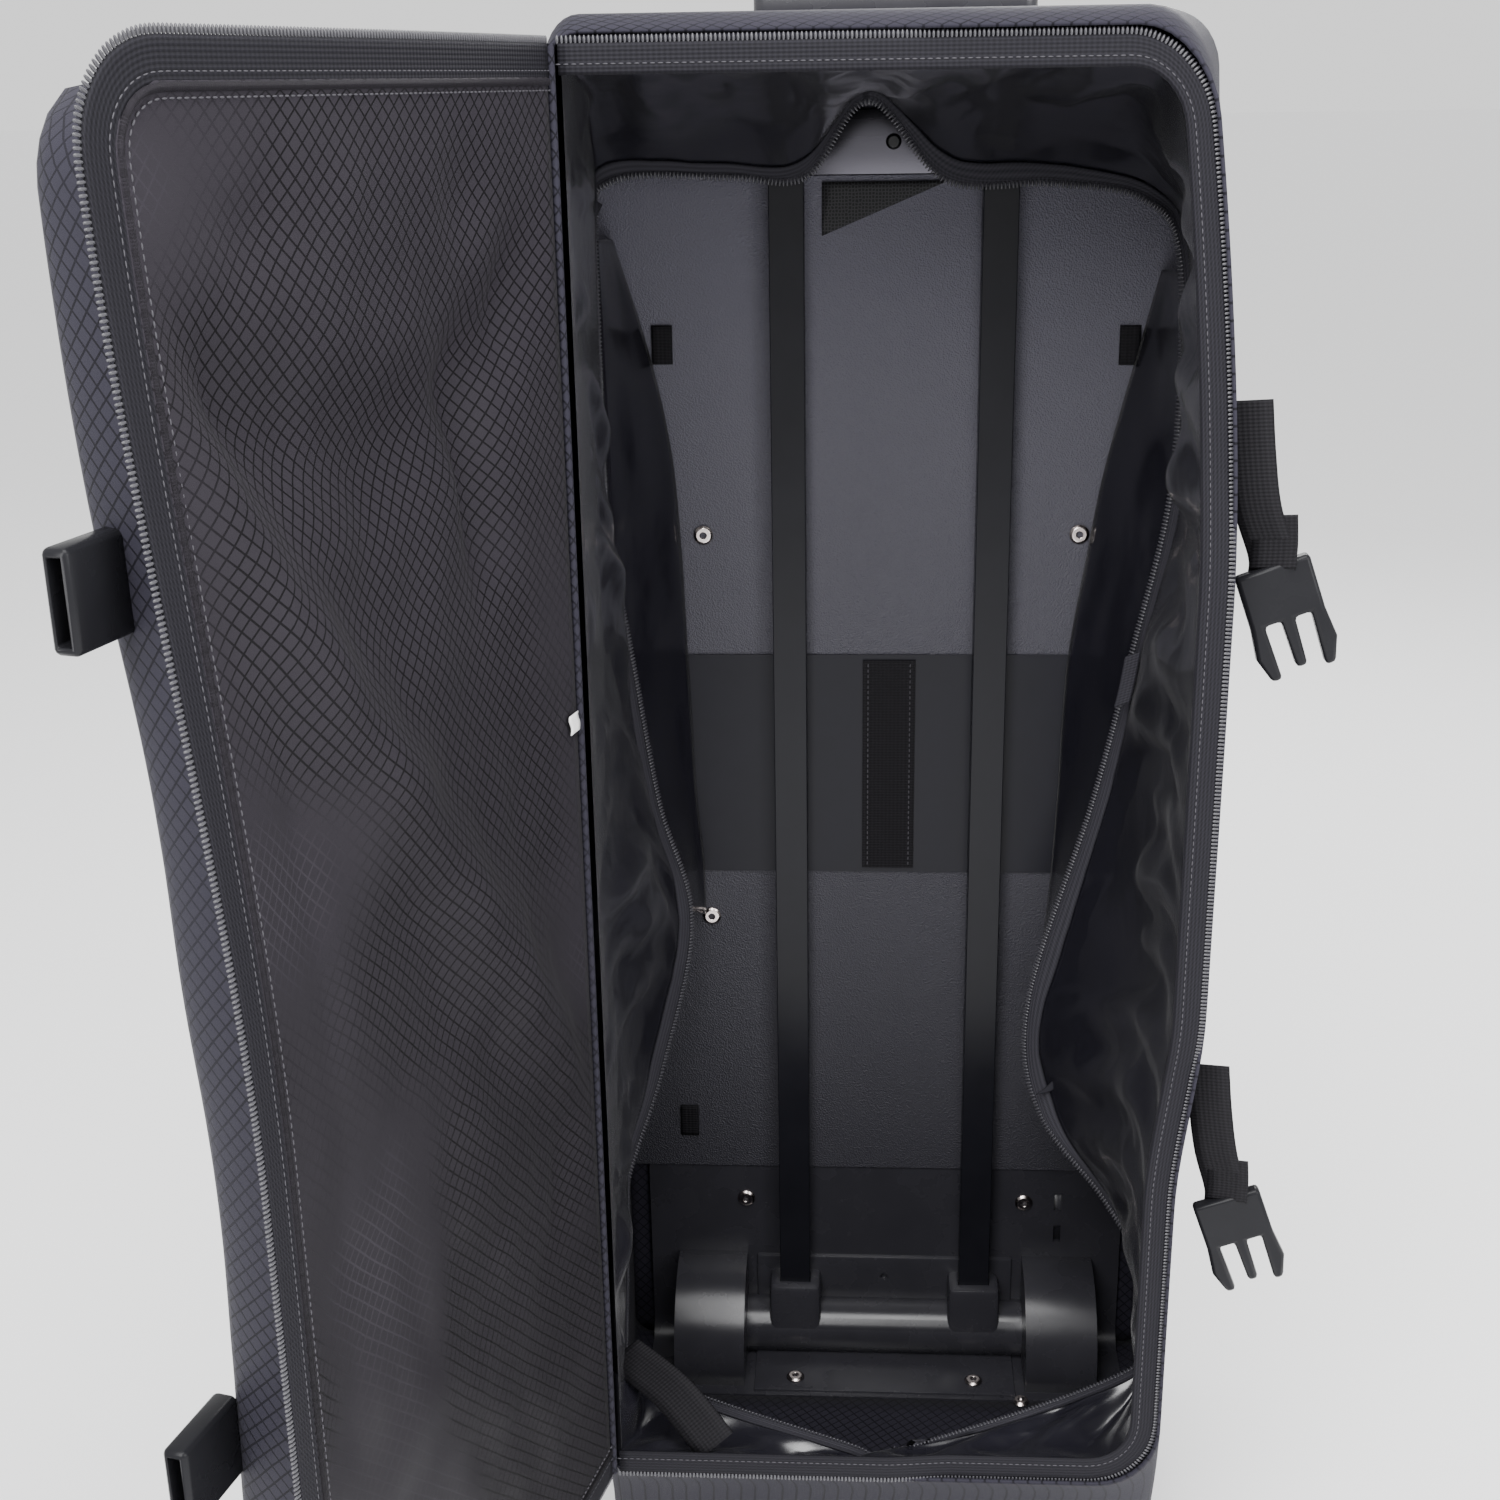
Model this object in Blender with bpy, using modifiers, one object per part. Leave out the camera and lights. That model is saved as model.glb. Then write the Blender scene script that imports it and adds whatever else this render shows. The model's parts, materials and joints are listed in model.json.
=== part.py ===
"""Wheeled hockey equipment bag standing upright with its lid swung open, in metres, +Z up.

The origin is the middle of the stand foot's sole. +X is the bag's right, seen from the front,
and +Y its back. Depths are measured from the rim plane towards the back.
"""

import math

import bmesh
import bpy
from mathutils import Matrix, Vector

# Bag body
RIM_Y = -0.10            # rim plane, in front of the stand foot
RIM_HALF = 0.187         # half width of the opening at the rim
BACK_HALF = 0.213        # half width at the back
DEPTH = 0.3425           # rim plane to the front of the back board
RIM_TOP = 1.085
RIM_BOTTOM = 0.170
BASE_Z = 0.036           # inner face of the bottom
SLOPE_DEPTH = 0.085      # depth where the sloped lower front meets the bottom
WALL = 0.003             # stiffened fabric walls
LINING = 0.0015
LINING_BACK = 0.0925     # top lining ends in front of the tubes
LINING_START = 0.012     # lining's edge behind the zipper tape
LINING_END = 0.030       # lining's edge in front of the board
LINING_LIFT = 0.030      # side lining over the bottom
LINING_LAP = 0.020       # side lining over the rim's foot and the chassis
LINING_DROP = 0.012      # side lining under the top
LINING_HEM = 0.010       # lining behind the slope
GAP = 0.0003             # between pieces that touch on the real bag
RIM_CORNER = 0.045       # rounded corners of the rim and the lid
TAPE = 0.016             # zipper tape width
TAPE_THICK = 0.0015

# Back board, outer back and skid rails
BOARD = 0.003
OUTER_BACK = 0.002
RAIL_INSET = 0.073       # rails' middles from the bag's sides
RAIL_X = BACK_HALF - RAIL_INSET
RAIL_WIDTH = 0.030
RAIL_THICK = 0.008
RAIL_BOTTOM = 0.260
RAIL_TOP = 0.930
RAIL_ROUND = 0.0035
RIVET_R = 0.0075
RIVET_HEIGHT = 0.0025
RIVET_HOLE = 0.0025
BOARD_RIVET_Z = (0.432, 0.743)

# Wheel chassis
CHASSIS_HALF = 0.198
CHASSIS_REACH = 0.0805   # from the board's front to the chassis' front edge
CHASSIS_FRONT = DEPTH - CHASSIS_REACH
CHASSIS_TOP = 0.203
CHASSIS_PLATE = 0.004
CHASSIS_FLOOR = 0.006
CORNER_R = 0.020
FORM_SINK = 0.002        # how far a fused form is sunk in the floor below it
BACK_SINK = 0.001        # how far a fused form stays inside the chassis' back
CUT_REACH = 0.1          # how far cutters run past what they cut
AXLE_AHEAD = 0.0075      # axle in front of the board
AXLE_DEPTH = DEPTH - AXLE_AHEAD
AXLE_R = 0.005
AXLE_FIT = 0.0003
WHEEL_X = 0.145
WHEEL_R = 0.055
WHEEL_WIDTH = 0.036
TYRE_THICK = 0.013
WELL_CLEAR = 0.0065
WELL_SIDE_CLEAR = 0.0045
WELL_WALL = 0.004
WELL_SIDE_WALL = 0.0065
TUNNEL_R = 0.024
HUB_HOLES = 6
HUB_HOLE_R = 0.0075
HUB_HOLE_RING = 0.0245
HUB_BOSS = 0.008         # boss round the axle
HUB_STEP = 0.001         # slope from the boss to the dish
HUB_DISH = 0.42          # dish height as a share of the half width
HUB_RIM = 0.004
HUB_RIM_STEP = 0.002
TREAD_DROP = 0.004       # rounding of the tread's shoulders
TREAD_CROWN = 0.001
TREAD_FLAT = 0.66        # crowned share of the half width
CAP_R = 0.0075
CAP_LENGTH = 0.006
CAP_SEAT = 0.002         # depth of the axle's end in its cap

# Telescopic handle
TUBE_X = 0.075
TUBE_WIDTH = 0.025
TUBE_DEEP = 0.018
TUBE_WALL = 0.0015
TUBE_BEHIND = 0.0025     # room behind the tubes for the band
TUBE_FRONT = DEPTH - TUBE_BEHIND - TUBE_DEEP
TUBE_FOOT = 0.085
TUBE_SLIDE = 0.0005      # running clearance of the inner tubes
INNER_WALL = 0.0012
INNER_FOOT = 0.620
SOCKET_TOP = 0.105
SOCKET_FOOT = 0.045
SOCKET_WALL = 0.009
PLATE_TOP = 0.118
PLATE_HALF = 0.108
PLATE_PROUD = 0.0005     # raised plate behind the tubes
PLATE_FRONT = TUBE_FRONT + TUBE_DEEP + PLATE_PROUD
PLATE_FLOOR = 0.0025     # raised plate over the chassis floor
PLATE_ROUND = 0.002
FLOOR_PLATE_ROUND = 0.001
FLOOR_PLATE_INSET = 0.004
SOCKET_ROUND = 0.005
SCREW_HOLE_R = 0.003
SCREW_HOLE_DEEP = 0.006
SCREW_HOLE_DROP = 0.006  # below the sockets' top
SLOT_WIDTH = 0.006
SLOT_HEIGHT = 0.016
SLOT_Z = (0.142, 0.172)
CHASSIS_RIVET_X = 0.1165
CHASSIS_RIVET_Z = 0.172
FLOOR_RIVET_X = 0.074
FLOOR_RIVET_INSET = 0.020
HOUSING_HALF = 0.115
HOUSING_DEEP = 0.034
HOUSING_HEIGHT = 0.012
HOUSING_ROUND = 0.004
GRIP_HALF = 0.096
GRIP_DEEP = 0.030
GRIP_HEIGHT = 0.028
GRIP_ROUND = 0.009
BUTTON_LENGTH = 0.040
BUTTON_DEEP = 0.013
BUTTON_HEIGHT = 0.009
BUTTON_PROUD = 0.004
BUTTON_TRAVEL = 0.004
BUTTON_FIT = 0.0004
BUTTON_ROUND = 0.002
BRACKET_HEIGHT = 0.045
BRACKET_TOP = 1.046
BRACKET_THICK = 0.004
BRACKET_ROUND = 0.0012
SCREW_R = 0.0055
SCREW_HEIGHT = 0.003
SCREW_EDGE = 0.001

# Band over the board
BAND_TOP = 0.650
BAND_BOTTOM = 0.472
BAND_HALF = 0.172
BAND_THICK = 0.0015
STRIP_WIDTH = 0.040
STRIP_INSET = 0.004

# Side straps with male buckles
STRAP_WIDTH = 0.028
STRAP_THICK = 0.002
STRAP_DEPTH = 0.030
STRAP_TOPS = (("upper", 0.890), ("lower", 0.470))
STRAP_LENGTH = 0.095
BUCKLE_WIDTH = 0.044
BUCKLE_BODY = 0.034
BUCKLE_PRONG = 0.034
BUCKLE_THICK = 0.010
PRONG_WIDTH = 0.008
BUCKLE_FLARE = 0.002     # bulge of the springy arms

# Lid
LID_OPEN = math.radians(104)
PIPING_R = 0.0025        # piping along the hinge line
LID_AXIS_OUT = PIPING_R - TAPE_THICK    # hinge line in front of the rim plane
LID_PANEL = 0.003
LID_FROM_HINGE = PIPING_R + GAP
POCKET_MARGIN = 0.026
POCKET_THICK = 0.046
POCKET_WALL = 0.0025
POCKET_CORNER = 0.060
LID_STRAP_THICK = 0.002
LID_BUCKLE_LENGTH = 0.046
LID_BUCKLE_HEIGHT = 0.013
LID_BUCKLE_ROUND = 0.003
LID_BUCKLE_SEAT = 0.004  # the buckle's back past the strap's
MOUTH_WALL = 0.003
MOUTH_SIDE = 0.004
MOUTH_DEEP = 0.036

# Stand foot
FOOT_HALF = 0.130
FOOT_DEEP = 0.046
FOOT_TAPER = 0.006

for old in list(bpy.data.objects):
    bpy.data.objects.remove(old, do_unlink=True)

BAG = bpy.data.collections.new("hockey_equipment_bag")
CUTTERS = bpy.data.collections.new("cutters")
bpy.context.scene.collection.children.link(BAG)
bpy.context.scene.collection.children.link(CUTTERS)


def at_depth(depth):
    """World Y of a depth behind the rim plane."""
    return RIM_Y + depth


def wall_outer(depth):
    """Half width over the outside of the side walls at a depth."""
    return RIM_HALF + WALL + (BACK_HALF - RIM_HALF) * depth / DEPTH


def wall_inner(depth):
    """Half width between the side walls at a depth, less the fitting gap."""
    return wall_outer(depth) - WALL - GAP


def material(name, colour, roughness, metallic=0.0):
    """A Principled material, made once for each name."""
    found = bpy.data.materials.get(name)
    if found:
        return found
    made = bpy.data.materials.new(name)
    made.use_nodes = True
    shader = made.node_tree.nodes["Principled BSDF"]
    shader.inputs["Base Color"].default_value = (*colour, 1.0)
    shader.inputs["Roughness"].default_value = roughness
    shader.inputs["Metallic"].default_value = metallic
    return made


FABRIC = material("outer_fabric", (0.045, 0.042, 0.055), 0.65)
LINER = material("lining_nylon", (0.012, 0.012, 0.016), 0.35)
WEBBING = material("black_webbing", (0.015, 0.015, 0.018), 0.75)
BOARD_PLASTIC = material("board_plastic", (0.055, 0.055, 0.062), 0.55)
MOULDED = material("moulded_plastic", (0.010, 0.010, 0.012), 0.28)
TUBE_METAL = material("black_tube", (0.020, 0.020, 0.023), 0.32, 0.8)
INNER_METAL = material("bright_tube", (0.55, 0.55, 0.57), 0.30, 1.0)
NICKEL = material("nickel", (0.62, 0.56, 0.54), 0.22, 1.0)
RUBBER = material("tyre_rubber", (0.018, 0.018, 0.018), 0.80)
HUB_PLASTIC = material("hub_plastic", (0.16, 0.16, 0.17), 0.45)
ZIPPER = material("zipper_tape", (0.020, 0.020, 0.024), 0.60)


def add_object(name, mesh, look, collection=BAG):
    """Links a mesh as a named object and gives it its material."""
    made = bpy.data.objects.new(name, mesh)
    collection.objects.link(made)
    if look:
        mesh.materials.clear()
        mesh.materials.append(look)
    if collection is CUTTERS:
        made.hide_render = True
        made.display_type = "WIRE"
    return made


def box(name, low, high, look=None, collection=BAG, bevel=0.0, segments=2):
    """A box between two corners, its origin at its middle, with rounded edges if asked."""
    low, high = Vector(low), Vector(high)
    shape = bmesh.new()
    bmesh.ops.create_cube(shape, size=1.0)
    bmesh.ops.scale(shape, vec=high - low, verts=shape.verts)
    mesh = bpy.data.meshes.new(name)
    shape.to_mesh(mesh)
    shape.free()
    made = add_object(name, mesh, look, collection)
    made.location = (low + high) / 2
    if bevel:
        rounding = made.modifiers.new("rounding", "BEVEL")
        rounding.width = bevel
        rounding.segments = segments
    return made


def rod(name, centre, radius, length, axis, look=None, collection=BAG, sides=32):
    """A cylinder about a world axis, X, Y or Z, through its centre."""
    turn = {"X": Matrix.Rotation(math.pi / 2, 4, "Y"), "Y": Matrix.Rotation(math.pi / 2, 4, "X"),
            "Z": Matrix.Identity(4)}[axis]
    shape = bmesh.new()
    bmesh.ops.create_cone(shape, cap_ends=True, segments=sides, radius1=radius, radius2=radius,
                          depth=length, matrix=turn)
    mesh = bpy.data.meshes.new(name)
    shape.to_mesh(mesh)
    shape.free()
    made = add_object(name, mesh, look, collection)
    made.location = centre
    return made


def outline(name, points, thickness, look=None, collection=BAG):
    """A flat outline in local XY, thickened equally to both sides of its plane."""
    curve = bpy.data.curves.new(name, "CURVE")
    curve.dimensions = "2D"
    curve.fill_mode = "BOTH"
    curve.extrude = thickness / 2
    spline = curve.splines.new("POLY")
    spline.points.add(len(points) - 1)
    for place, point in zip(spline.points, points):
        place.co = (point[0], point[1], 0.0, 1.0)
    spline.use_cyclic_u = True
    sketch = bpy.data.objects.new(name + "_sketch", curve)
    bpy.context.scene.collection.objects.link(sketch)
    bpy.context.view_layer.update()
    mesh = bpy.data.meshes.new_from_object(sketch.evaluated_get(bpy.context.evaluated_depsgraph_get()))
    bpy.data.objects.remove(sketch, do_unlink=True)
    shape = bmesh.new()
    shape.from_mesh(mesh)
    bmesh.ops.remove_doubles(shape, verts=shape.verts, dist=1e-6)
    bmesh.ops.recalc_face_normals(shape, faces=shape.faces)
    shape.to_mesh(mesh)
    shape.free()
    mesh.name = name
    return add_object(name, mesh, look, collection)


def turned(name, profile, look, steps=32):
    """A solid turned about local Z from a profile of (radius, height) points."""
    mesh = bpy.data.meshes.new(name)
    count = len(profile)
    edges = [(i, (i + 1) % count) for i in range(count)]
    mesh.from_pydata([(radius, 0.0, height) for radius, height in profile], edges, [])
    made = add_object(name, mesh, look)
    screw = made.modifiers.new("turn", "SCREW")
    screw.steps = steps
    screw.render_steps = steps
    screw.use_merge_vertices = True
    screw.merge_threshold = 0.0001
    screw.use_normal_calculate = True
    return made


def combine(target, tool, operation):
    """An exact Boolean of a mesh object with a tool kept in the cutters collection."""
    step = target.modifiers.new(tool.name, "BOOLEAN")
    step.solver = "EXACT"
    step.operation = operation
    step.object = tool
    return target


def arc(centre, radius, start, end, steps=6):
    """Points of an arc, angles in degrees."""
    points = []
    for i in range(steps + 1):
        angle = math.radians(start + (end - start) * i / steps)
        points.append((centre[0] + radius * math.cos(angle), centre[1] + radius * math.sin(angle)))
    return points


def side_on(made, x):
    """Stands an outline drawn as (depth from the rim, height) in the YZ plane at x."""
    made.rotation_euler = (math.pi / 2, 0.0, math.pi / 2)
    made.location = (x, RIM_Y, 0.0)


def d_outline(near, far, low, high, corner):
    """An upright panel outline, square at the near edge and rounded at the far corners."""
    points = [(near, low)]
    points += arc((far - corner, low + corner), corner, 270, 360)
    points += arc((far - corner, high - corner), corner, 0, 90)
    points.append((near, high))
    return points


# Soft body panels
def side_wall(side, name):
    """One stiffened side wall, leaning out towards the back."""
    lean = math.atan2(BACK_HALF - RIM_HALF, DEPTH)
    stretch = 1 / math.cos(lean)
    front = TAPE_THICK + GAP
    low = BASE_Z - CHASSIS_FLOOR
    points = [(front * stretch, RIM_BOTTOM), (SLOPE_DEPTH * stretch, low), (DEPTH * stretch, low)]
    points += [(DEPTH * stretch, RIM_TOP + WALL), (front * stretch, RIM_TOP + WALL)]
    wall = outline(name, points, WALL, FABRIC)
    wall.rotation_euler = (math.pi / 2, 0.0, math.pi / 2 - side * lean)
    wall.location = (side * (RIM_HALF + WALL / 2), RIM_Y, 0.0)
    return wall


def trapezoid(name, near, far, z, look, trim=0.0):
    """A level panel between the side walls, from one depth to another."""
    points = [(-wall_inner(near) + trim, at_depth(near)), (wall_inner(near) - trim, at_depth(near))]
    points += [(wall_inner(far) - trim, at_depth(far)), (-wall_inner(far) + trim, at_depth(far))]
    panel = outline(name, points, WALL, look)
    panel.location.z = z + WALL / 2
    return panel


def tube_middle():
    """World Y of the telescopic tubes' axes."""
    return at_depth(TUBE_FRONT + TUBE_DEEP / 2)


def inner_size():
    """Width and depth of the inner tubes."""
    return (TUBE_WIDTH - 2 * TUBE_WALL - 2 * TUBE_SLIDE, TUBE_DEEP - 2 * TUBE_WALL - 2 * TUBE_SLIDE)


def cut_tube_holes(target, low, high):
    """Cuts the two running holes for the inner tubes."""
    width, deep = inner_size()
    for side in (-1, 1):
        middle = Vector((side * TUBE_X, tube_middle(), 0.0))
        reach = Vector((width / 2 + TUBE_SLIDE, deep / 2 + TUBE_SLIDE, 0.0))
        hole = box(f"{target.name}_hole_{side}", middle - reach + Vector((0, 0, low)),
                   middle + reach + Vector((0, 0, high)), collection=CUTTERS)
        combine(target, hole, "DIFFERENCE")


def build_body():
    """Walls, ends, lower front and the zipper tape round the opening."""
    side_wall(-1, "side_wall_left")
    side_wall(1, "side_wall_right")
    front = TAPE_THICK + GAP
    top = trapezoid("top_wall", front, DEPTH - GAP, RIM_TOP, FABRIC)
    cut_tube_holes(top, RIM_TOP - WALL, RIM_TOP + 2 * WALL)
    trapezoid("bottom_wall", SLOPE_DEPTH, CHASSIS_FRONT - GAP, BASE_Z - WALL, FABRIC)
    build_lower_front(front)
    build_rim_tape()


def build_lower_front(front):
    """The sloped panel from the rim's lower edge to the bottom."""
    low = (SLOPE_DEPTH - GAP, BASE_Z - WALL / 2)
    high = (front, RIM_BOTTOM)
    lift = Vector((high[0] - low[0], high[1] - low[1]))
    normal = Vector((lift.y, -lift.x)).normalized() * (WALL / 2)
    points = [Vector(low) + normal, Vector(low) - normal, Vector(high) - normal, Vector(high) + normal]
    points = [(min(max(point.x, front), low[0]), point.y) for point in points]
    panel = outline("lower_front_panel", [tuple(point) for point in points],
                    2 * wall_inner(front), FABRIC)
    side_on(panel, 0.0)


def build_rim_tape():
    """Half of the main zipper, round three sides of the opening, and the piping on the hinge line."""
    near = -RIM_HALF + LID_FROM_HINGE
    outer = d_outline(near, RIM_HALF, RIM_BOTTOM, RIM_TOP, RIM_CORNER)
    inner = d_outline(near, RIM_HALF - TAPE, RIM_BOTTOM + TAPE, RIM_TOP - TAPE, RIM_CORNER - TAPE)
    tape = outline("rim_zipper_tape", outer + inner[::-1], TAPE_THICK, ZIPPER)
    tape.rotation_euler.x = math.pi / 2
    tape.location.y = at_depth(TAPE_THICK / 2)
    rod("hinge_piping", (-RIM_HALF, RIM_Y - LID_AXIS_OUT, (RIM_TOP + RIM_BOTTOM) / 2), PIPING_R,
        RIM_TOP - RIM_BOTTOM, "Z", FABRIC, sides=12)


def build_back():
    """Stiffening board, outer back fabric, skid rails and the board's rivets."""
    half = wall_inner(DEPTH)
    low = CHASSIS_TOP + GAP
    high = RIM_TOP - GAP
    outer = DEPTH + BOARD + GAP
    box("back_board", (-half, at_depth(DEPTH), low), (half, at_depth(DEPTH + BOARD), high), BOARD_PLASTIC)
    box("outer_back", (-half, at_depth(outer), low), (half, at_depth(outer + OUTER_BACK), high), FABRIC)
    rail = outer + OUTER_BACK + GAP
    for side, name in ((-1, "left"), (1, "right")):
        middle = side * RAIL_X
        box(f"skid_rail_{name}", (middle - RAIL_WIDTH / 2, at_depth(rail), RAIL_BOTTOM),
            (middle + RAIL_WIDTH / 2, at_depth(rail + RAIL_THICK), RAIL_TOP), MOULDED, bevel=RAIL_ROUND)
        for row, z in zip(("lower", "upper"), BOARD_RIVET_Z):
            rivet(f"board_rivet_{row}_{name}", (middle, at_depth(DEPTH - GAP), z))


def rivet(name, seat, flat=False):
    """A tubular rivet head, facing the front, or up when flat."""
    rim = RIVET_HEIGHT * 0.4
    profile = [(RIVET_HOLE, RIVET_HEIGHT), (RIVET_R * 0.72, RIVET_HEIGHT), (RIVET_R, rim),
               (RIVET_R, 0.0), (RIVET_HOLE, 0.0)]
    made = turned(name, profile, NICKEL, steps=16)
    made.location = seat
    made.rotation_euler.x = 0.0 if flat else math.pi / 2
    return made


# Wheel chassis with sockets, wells and the axle tunnel
def build_chassis():
    """The moulded corner that carries the axle, the wheels and the tube feet."""
    floor_low = BASE_Z - CHASSIS_FLOOR
    back = DEPTH + BOARD + GAP + OUTER_BACK
    face = back - CHASSIS_PLATE
    points = [(CHASSIS_FRONT, floor_low), (back, floor_low), (back, CHASSIS_TOP), (face, CHASSIS_TOP)]
    points += arc((face - CORNER_R, BASE_Z + CORNER_R), CORNER_R, 360, 270)
    points.append((CHASSIS_FRONT, BASE_Z))
    chassis = outline("wheel_chassis", points, 2 * CHASSIS_HALF, MOULDED)
    side_on(chassis, 0.0)
    axle = Vector((0.0, at_depth(AXLE_DEPTH), WHEEL_R))
    well_r = WHEEL_R + WELL_CLEAR
    well_half = WHEEL_WIDTH / 2 + WELL_SIDE_CLEAR
    add_chassis_forms(chassis, axle, well_r + WELL_WALL, 2 * (well_half + WELL_SIDE_WALL), back)
    cut_chassis(chassis, axle, well_r, 2 * well_half, back, floor_low)
    chassis_rivets(face)


def add_chassis_forms(chassis, axle, well_r, well_width, back):
    """Fuses the raised plate, the wells, the tunnel and the sockets to the chassis."""
    plate = box("raised_plate", (-PLATE_HALF, at_depth(PLATE_FRONT), BASE_Z - FORM_SINK),
                (PLATE_HALF, at_depth(back - BACK_SINK), PLATE_TOP), collection=CUTTERS, bevel=PLATE_ROUND)
    combine(chassis, plate, "UNION")
    low = (-PLATE_HALF, at_depth(CHASSIS_FRONT + FLOOR_PLATE_INSET), BASE_Z - FORM_SINK)
    high = (PLATE_HALF, at_depth(back - 1.2 * BACK_SINK), BASE_Z + PLATE_FLOOR)
    floor_plate = box("raised_floor", low, high, collection=CUTTERS, bevel=FLOOR_PLATE_ROUND)
    combine(chassis, floor_plate, "UNION")
    tunnel = rod("axle_tunnel", axle, TUNNEL_R, 2 * WHEEL_X, "X", collection=CUTTERS)
    combine(chassis, tunnel, "UNION")
    for side in (-1, 1):
        well = rod(f"well_{side}", axle + Vector((side * WHEEL_X, 0, 0)), well_r, well_width, "X",
                   collection=CUTTERS, sides=40)
        combine(chassis, well, "UNION")
        reach = TUBE_WIDTH / 2 + SOCKET_WALL
        low = (side * TUBE_X - reach, at_depth(TUBE_FRONT - SOCKET_WALL), SOCKET_FOOT)
        high = (side * TUBE_X + reach, at_depth(back - 1.5 * BACK_SINK), SOCKET_TOP)
        socket = box(f"socket_{side}", low, high, collection=CUTTERS, bevel=SOCKET_ROUND)
        combine(chassis, socket, "UNION")


def cut_chassis(chassis, axle, well_r, well_width, back, floor_low):
    """Trims the wells to the bag's corner and cuts the wheel arches, bore, sockets and slots."""
    far = CUT_REACH
    behind = box("trim_behind", (-far * 3, at_depth(back), -far), (far * 3, at_depth(back) + far, 4 * far),
                 collection=CUTTERS)
    below = box("trim_below", (-far * 3, at_depth(CHASSIS_FRONT) - far, -far),
                (far * 3, at_depth(back) + far, floor_low), collection=CUTTERS)
    bore = rod("axle_bore", axle, AXLE_R + AXLE_FIT, 4 * CHASSIS_HALF, "X", collection=CUTTERS, sides=20)
    screw = rod("screw_hole", (0, at_depth(PLATE_FRONT), SOCKET_TOP - SCREW_HOLE_DROP), SCREW_HOLE_R,
                SCREW_HOLE_DEEP, "Y", collection=CUTTERS, sides=12)
    for tool in (behind, below, bore, screw):
        combine(chassis, tool, "DIFFERENCE")
    for side in (-1, 1):
        arch = rod(f"arch_{side}", axle + Vector((side * WHEEL_X, 0, 0)), well_r, well_width, "X",
                   collection=CUTTERS, sides=40)
        combine(chassis, arch, "DIFFERENCE")
        reach = TUBE_WIDTH / 2 + GAP
        low = (side * TUBE_X - reach, at_depth(TUBE_FRONT - GAP), TUBE_FOOT - GAP)
        high = (side * TUBE_X + reach, at_depth(TUBE_FRONT + TUBE_DEEP + GAP), CHASSIS_TOP)
        pocket = box(f"tube_pocket_{side}", low, high, collection=CUTTERS)
        combine(chassis, pocket, "DIFFERENCE")
    for row, z in enumerate(SLOT_Z):
        low = (WHEEL_X - SLOT_WIDTH / 2, at_depth(back) - far / 4, z - SLOT_HEIGHT / 2)
        high = (WHEEL_X + SLOT_WIDTH / 2, at_depth(back) + far / 4, z + SLOT_HEIGHT / 2)
        slot = box(f"slot_{row}", low, high, collection=CUTTERS)
        combine(chassis, slot, "DIFFERENCE")


def chassis_rivets(face):
    """Rivets that hold the chassis to the bag."""
    for side, name in ((-1, "left"), (1, "right")):
        upper = (side * CHASSIS_RIVET_X, at_depth(face - GAP), CHASSIS_RIVET_Z)
        rivet(f"chassis_rivet_upper_{name}", upper)
        depth = CHASSIS_FRONT + FLOOR_RIVET_INSET
        seat = (side * FLOOR_RIVET_X, at_depth(depth), BASE_Z + PLATE_FLOOR + GAP)
        rivet(f"chassis_rivet_floor_{name}", seat, flat=True)


def build_wheels():
    """Axle, wheels with their tyres, and the caps that keep the wheels on."""
    axle = Vector((0.0, at_depth(AXLE_DEPTH), WHEEL_R))
    half = WHEEL_WIDTH / 2
    hub_r = WHEEL_R - TYRE_THICK
    start = WHEEL_X + half + WELL_SIDE_CLEAR + WELL_SIDE_WALL + GAP
    rod("axle", axle, AXLE_R, 2 * (start + CAP_SEAT - GAP), "X", TUBE_METAL, sides=20)
    crown = (WHEEL_R - TREAD_CROWN, half * TREAD_FLAT)
    tread = [(hub_r + GAP, half), (WHEEL_R - TREAD_DROP, half), crown, (WHEEL_R, 0.0)]
    tread += [(radius, -height) for radius, height in reversed(tread[:-1])]
    bore = AXLE_R + AXLE_FIT
    dish = half * HUB_DISH
    boss = bore + HUB_BOSS
    rim = hub_r - HUB_RIM
    disc = [(bore, half), (boss, half), (boss + HUB_STEP, dish), (rim - HUB_RIM_STEP, dish),
            (rim, half), (hub_r, half)]
    disc += [(radius, -height) for radius, height in reversed(disc)]
    for side, name in ((-1, "left"), (1, "right")):
        centre = axle + Vector((side * WHEEL_X, 0, 0))
        tyre = turned(f"tyre_{name}", tread, RUBBER, steps=48)
        hub = turned(f"wheel_hub_{name}", disc, HUB_PLASTIC, steps=48)
        for piece in (tyre, hub):
            piece.location = centre
            piece.rotation_euler.y = math.pi / 2
        for i in range(HUB_HOLES):
            turn = 2 * math.pi * i / HUB_HOLES
            offset = Vector((0, math.cos(turn), math.sin(turn))) * HUB_HOLE_RING
            hole = rod(f"hub_hole_{name}_{i}", centre + offset, HUB_HOLE_R, WHEEL_WIDTH, "X",
                       collection=CUTTERS, sides=14)
            combine(hub, hole, "DIFFERENCE")
        cap = [(0.0, CAP_LENGTH), (CAP_R * 0.7, CAP_LENGTH), (CAP_R, CAP_LENGTH * 0.5), (CAP_R, 0.0),
               (bore, 0.0), (bore, CAP_SEAT), (0.0, CAP_SEAT)]
        made = turned(f"axle_cap_{name}", cap, MOULDED, steps=20)
        made.location = axle + Vector((side * start, 0, 0))
        made.rotation_euler.y = side * math.pi / 2


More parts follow.
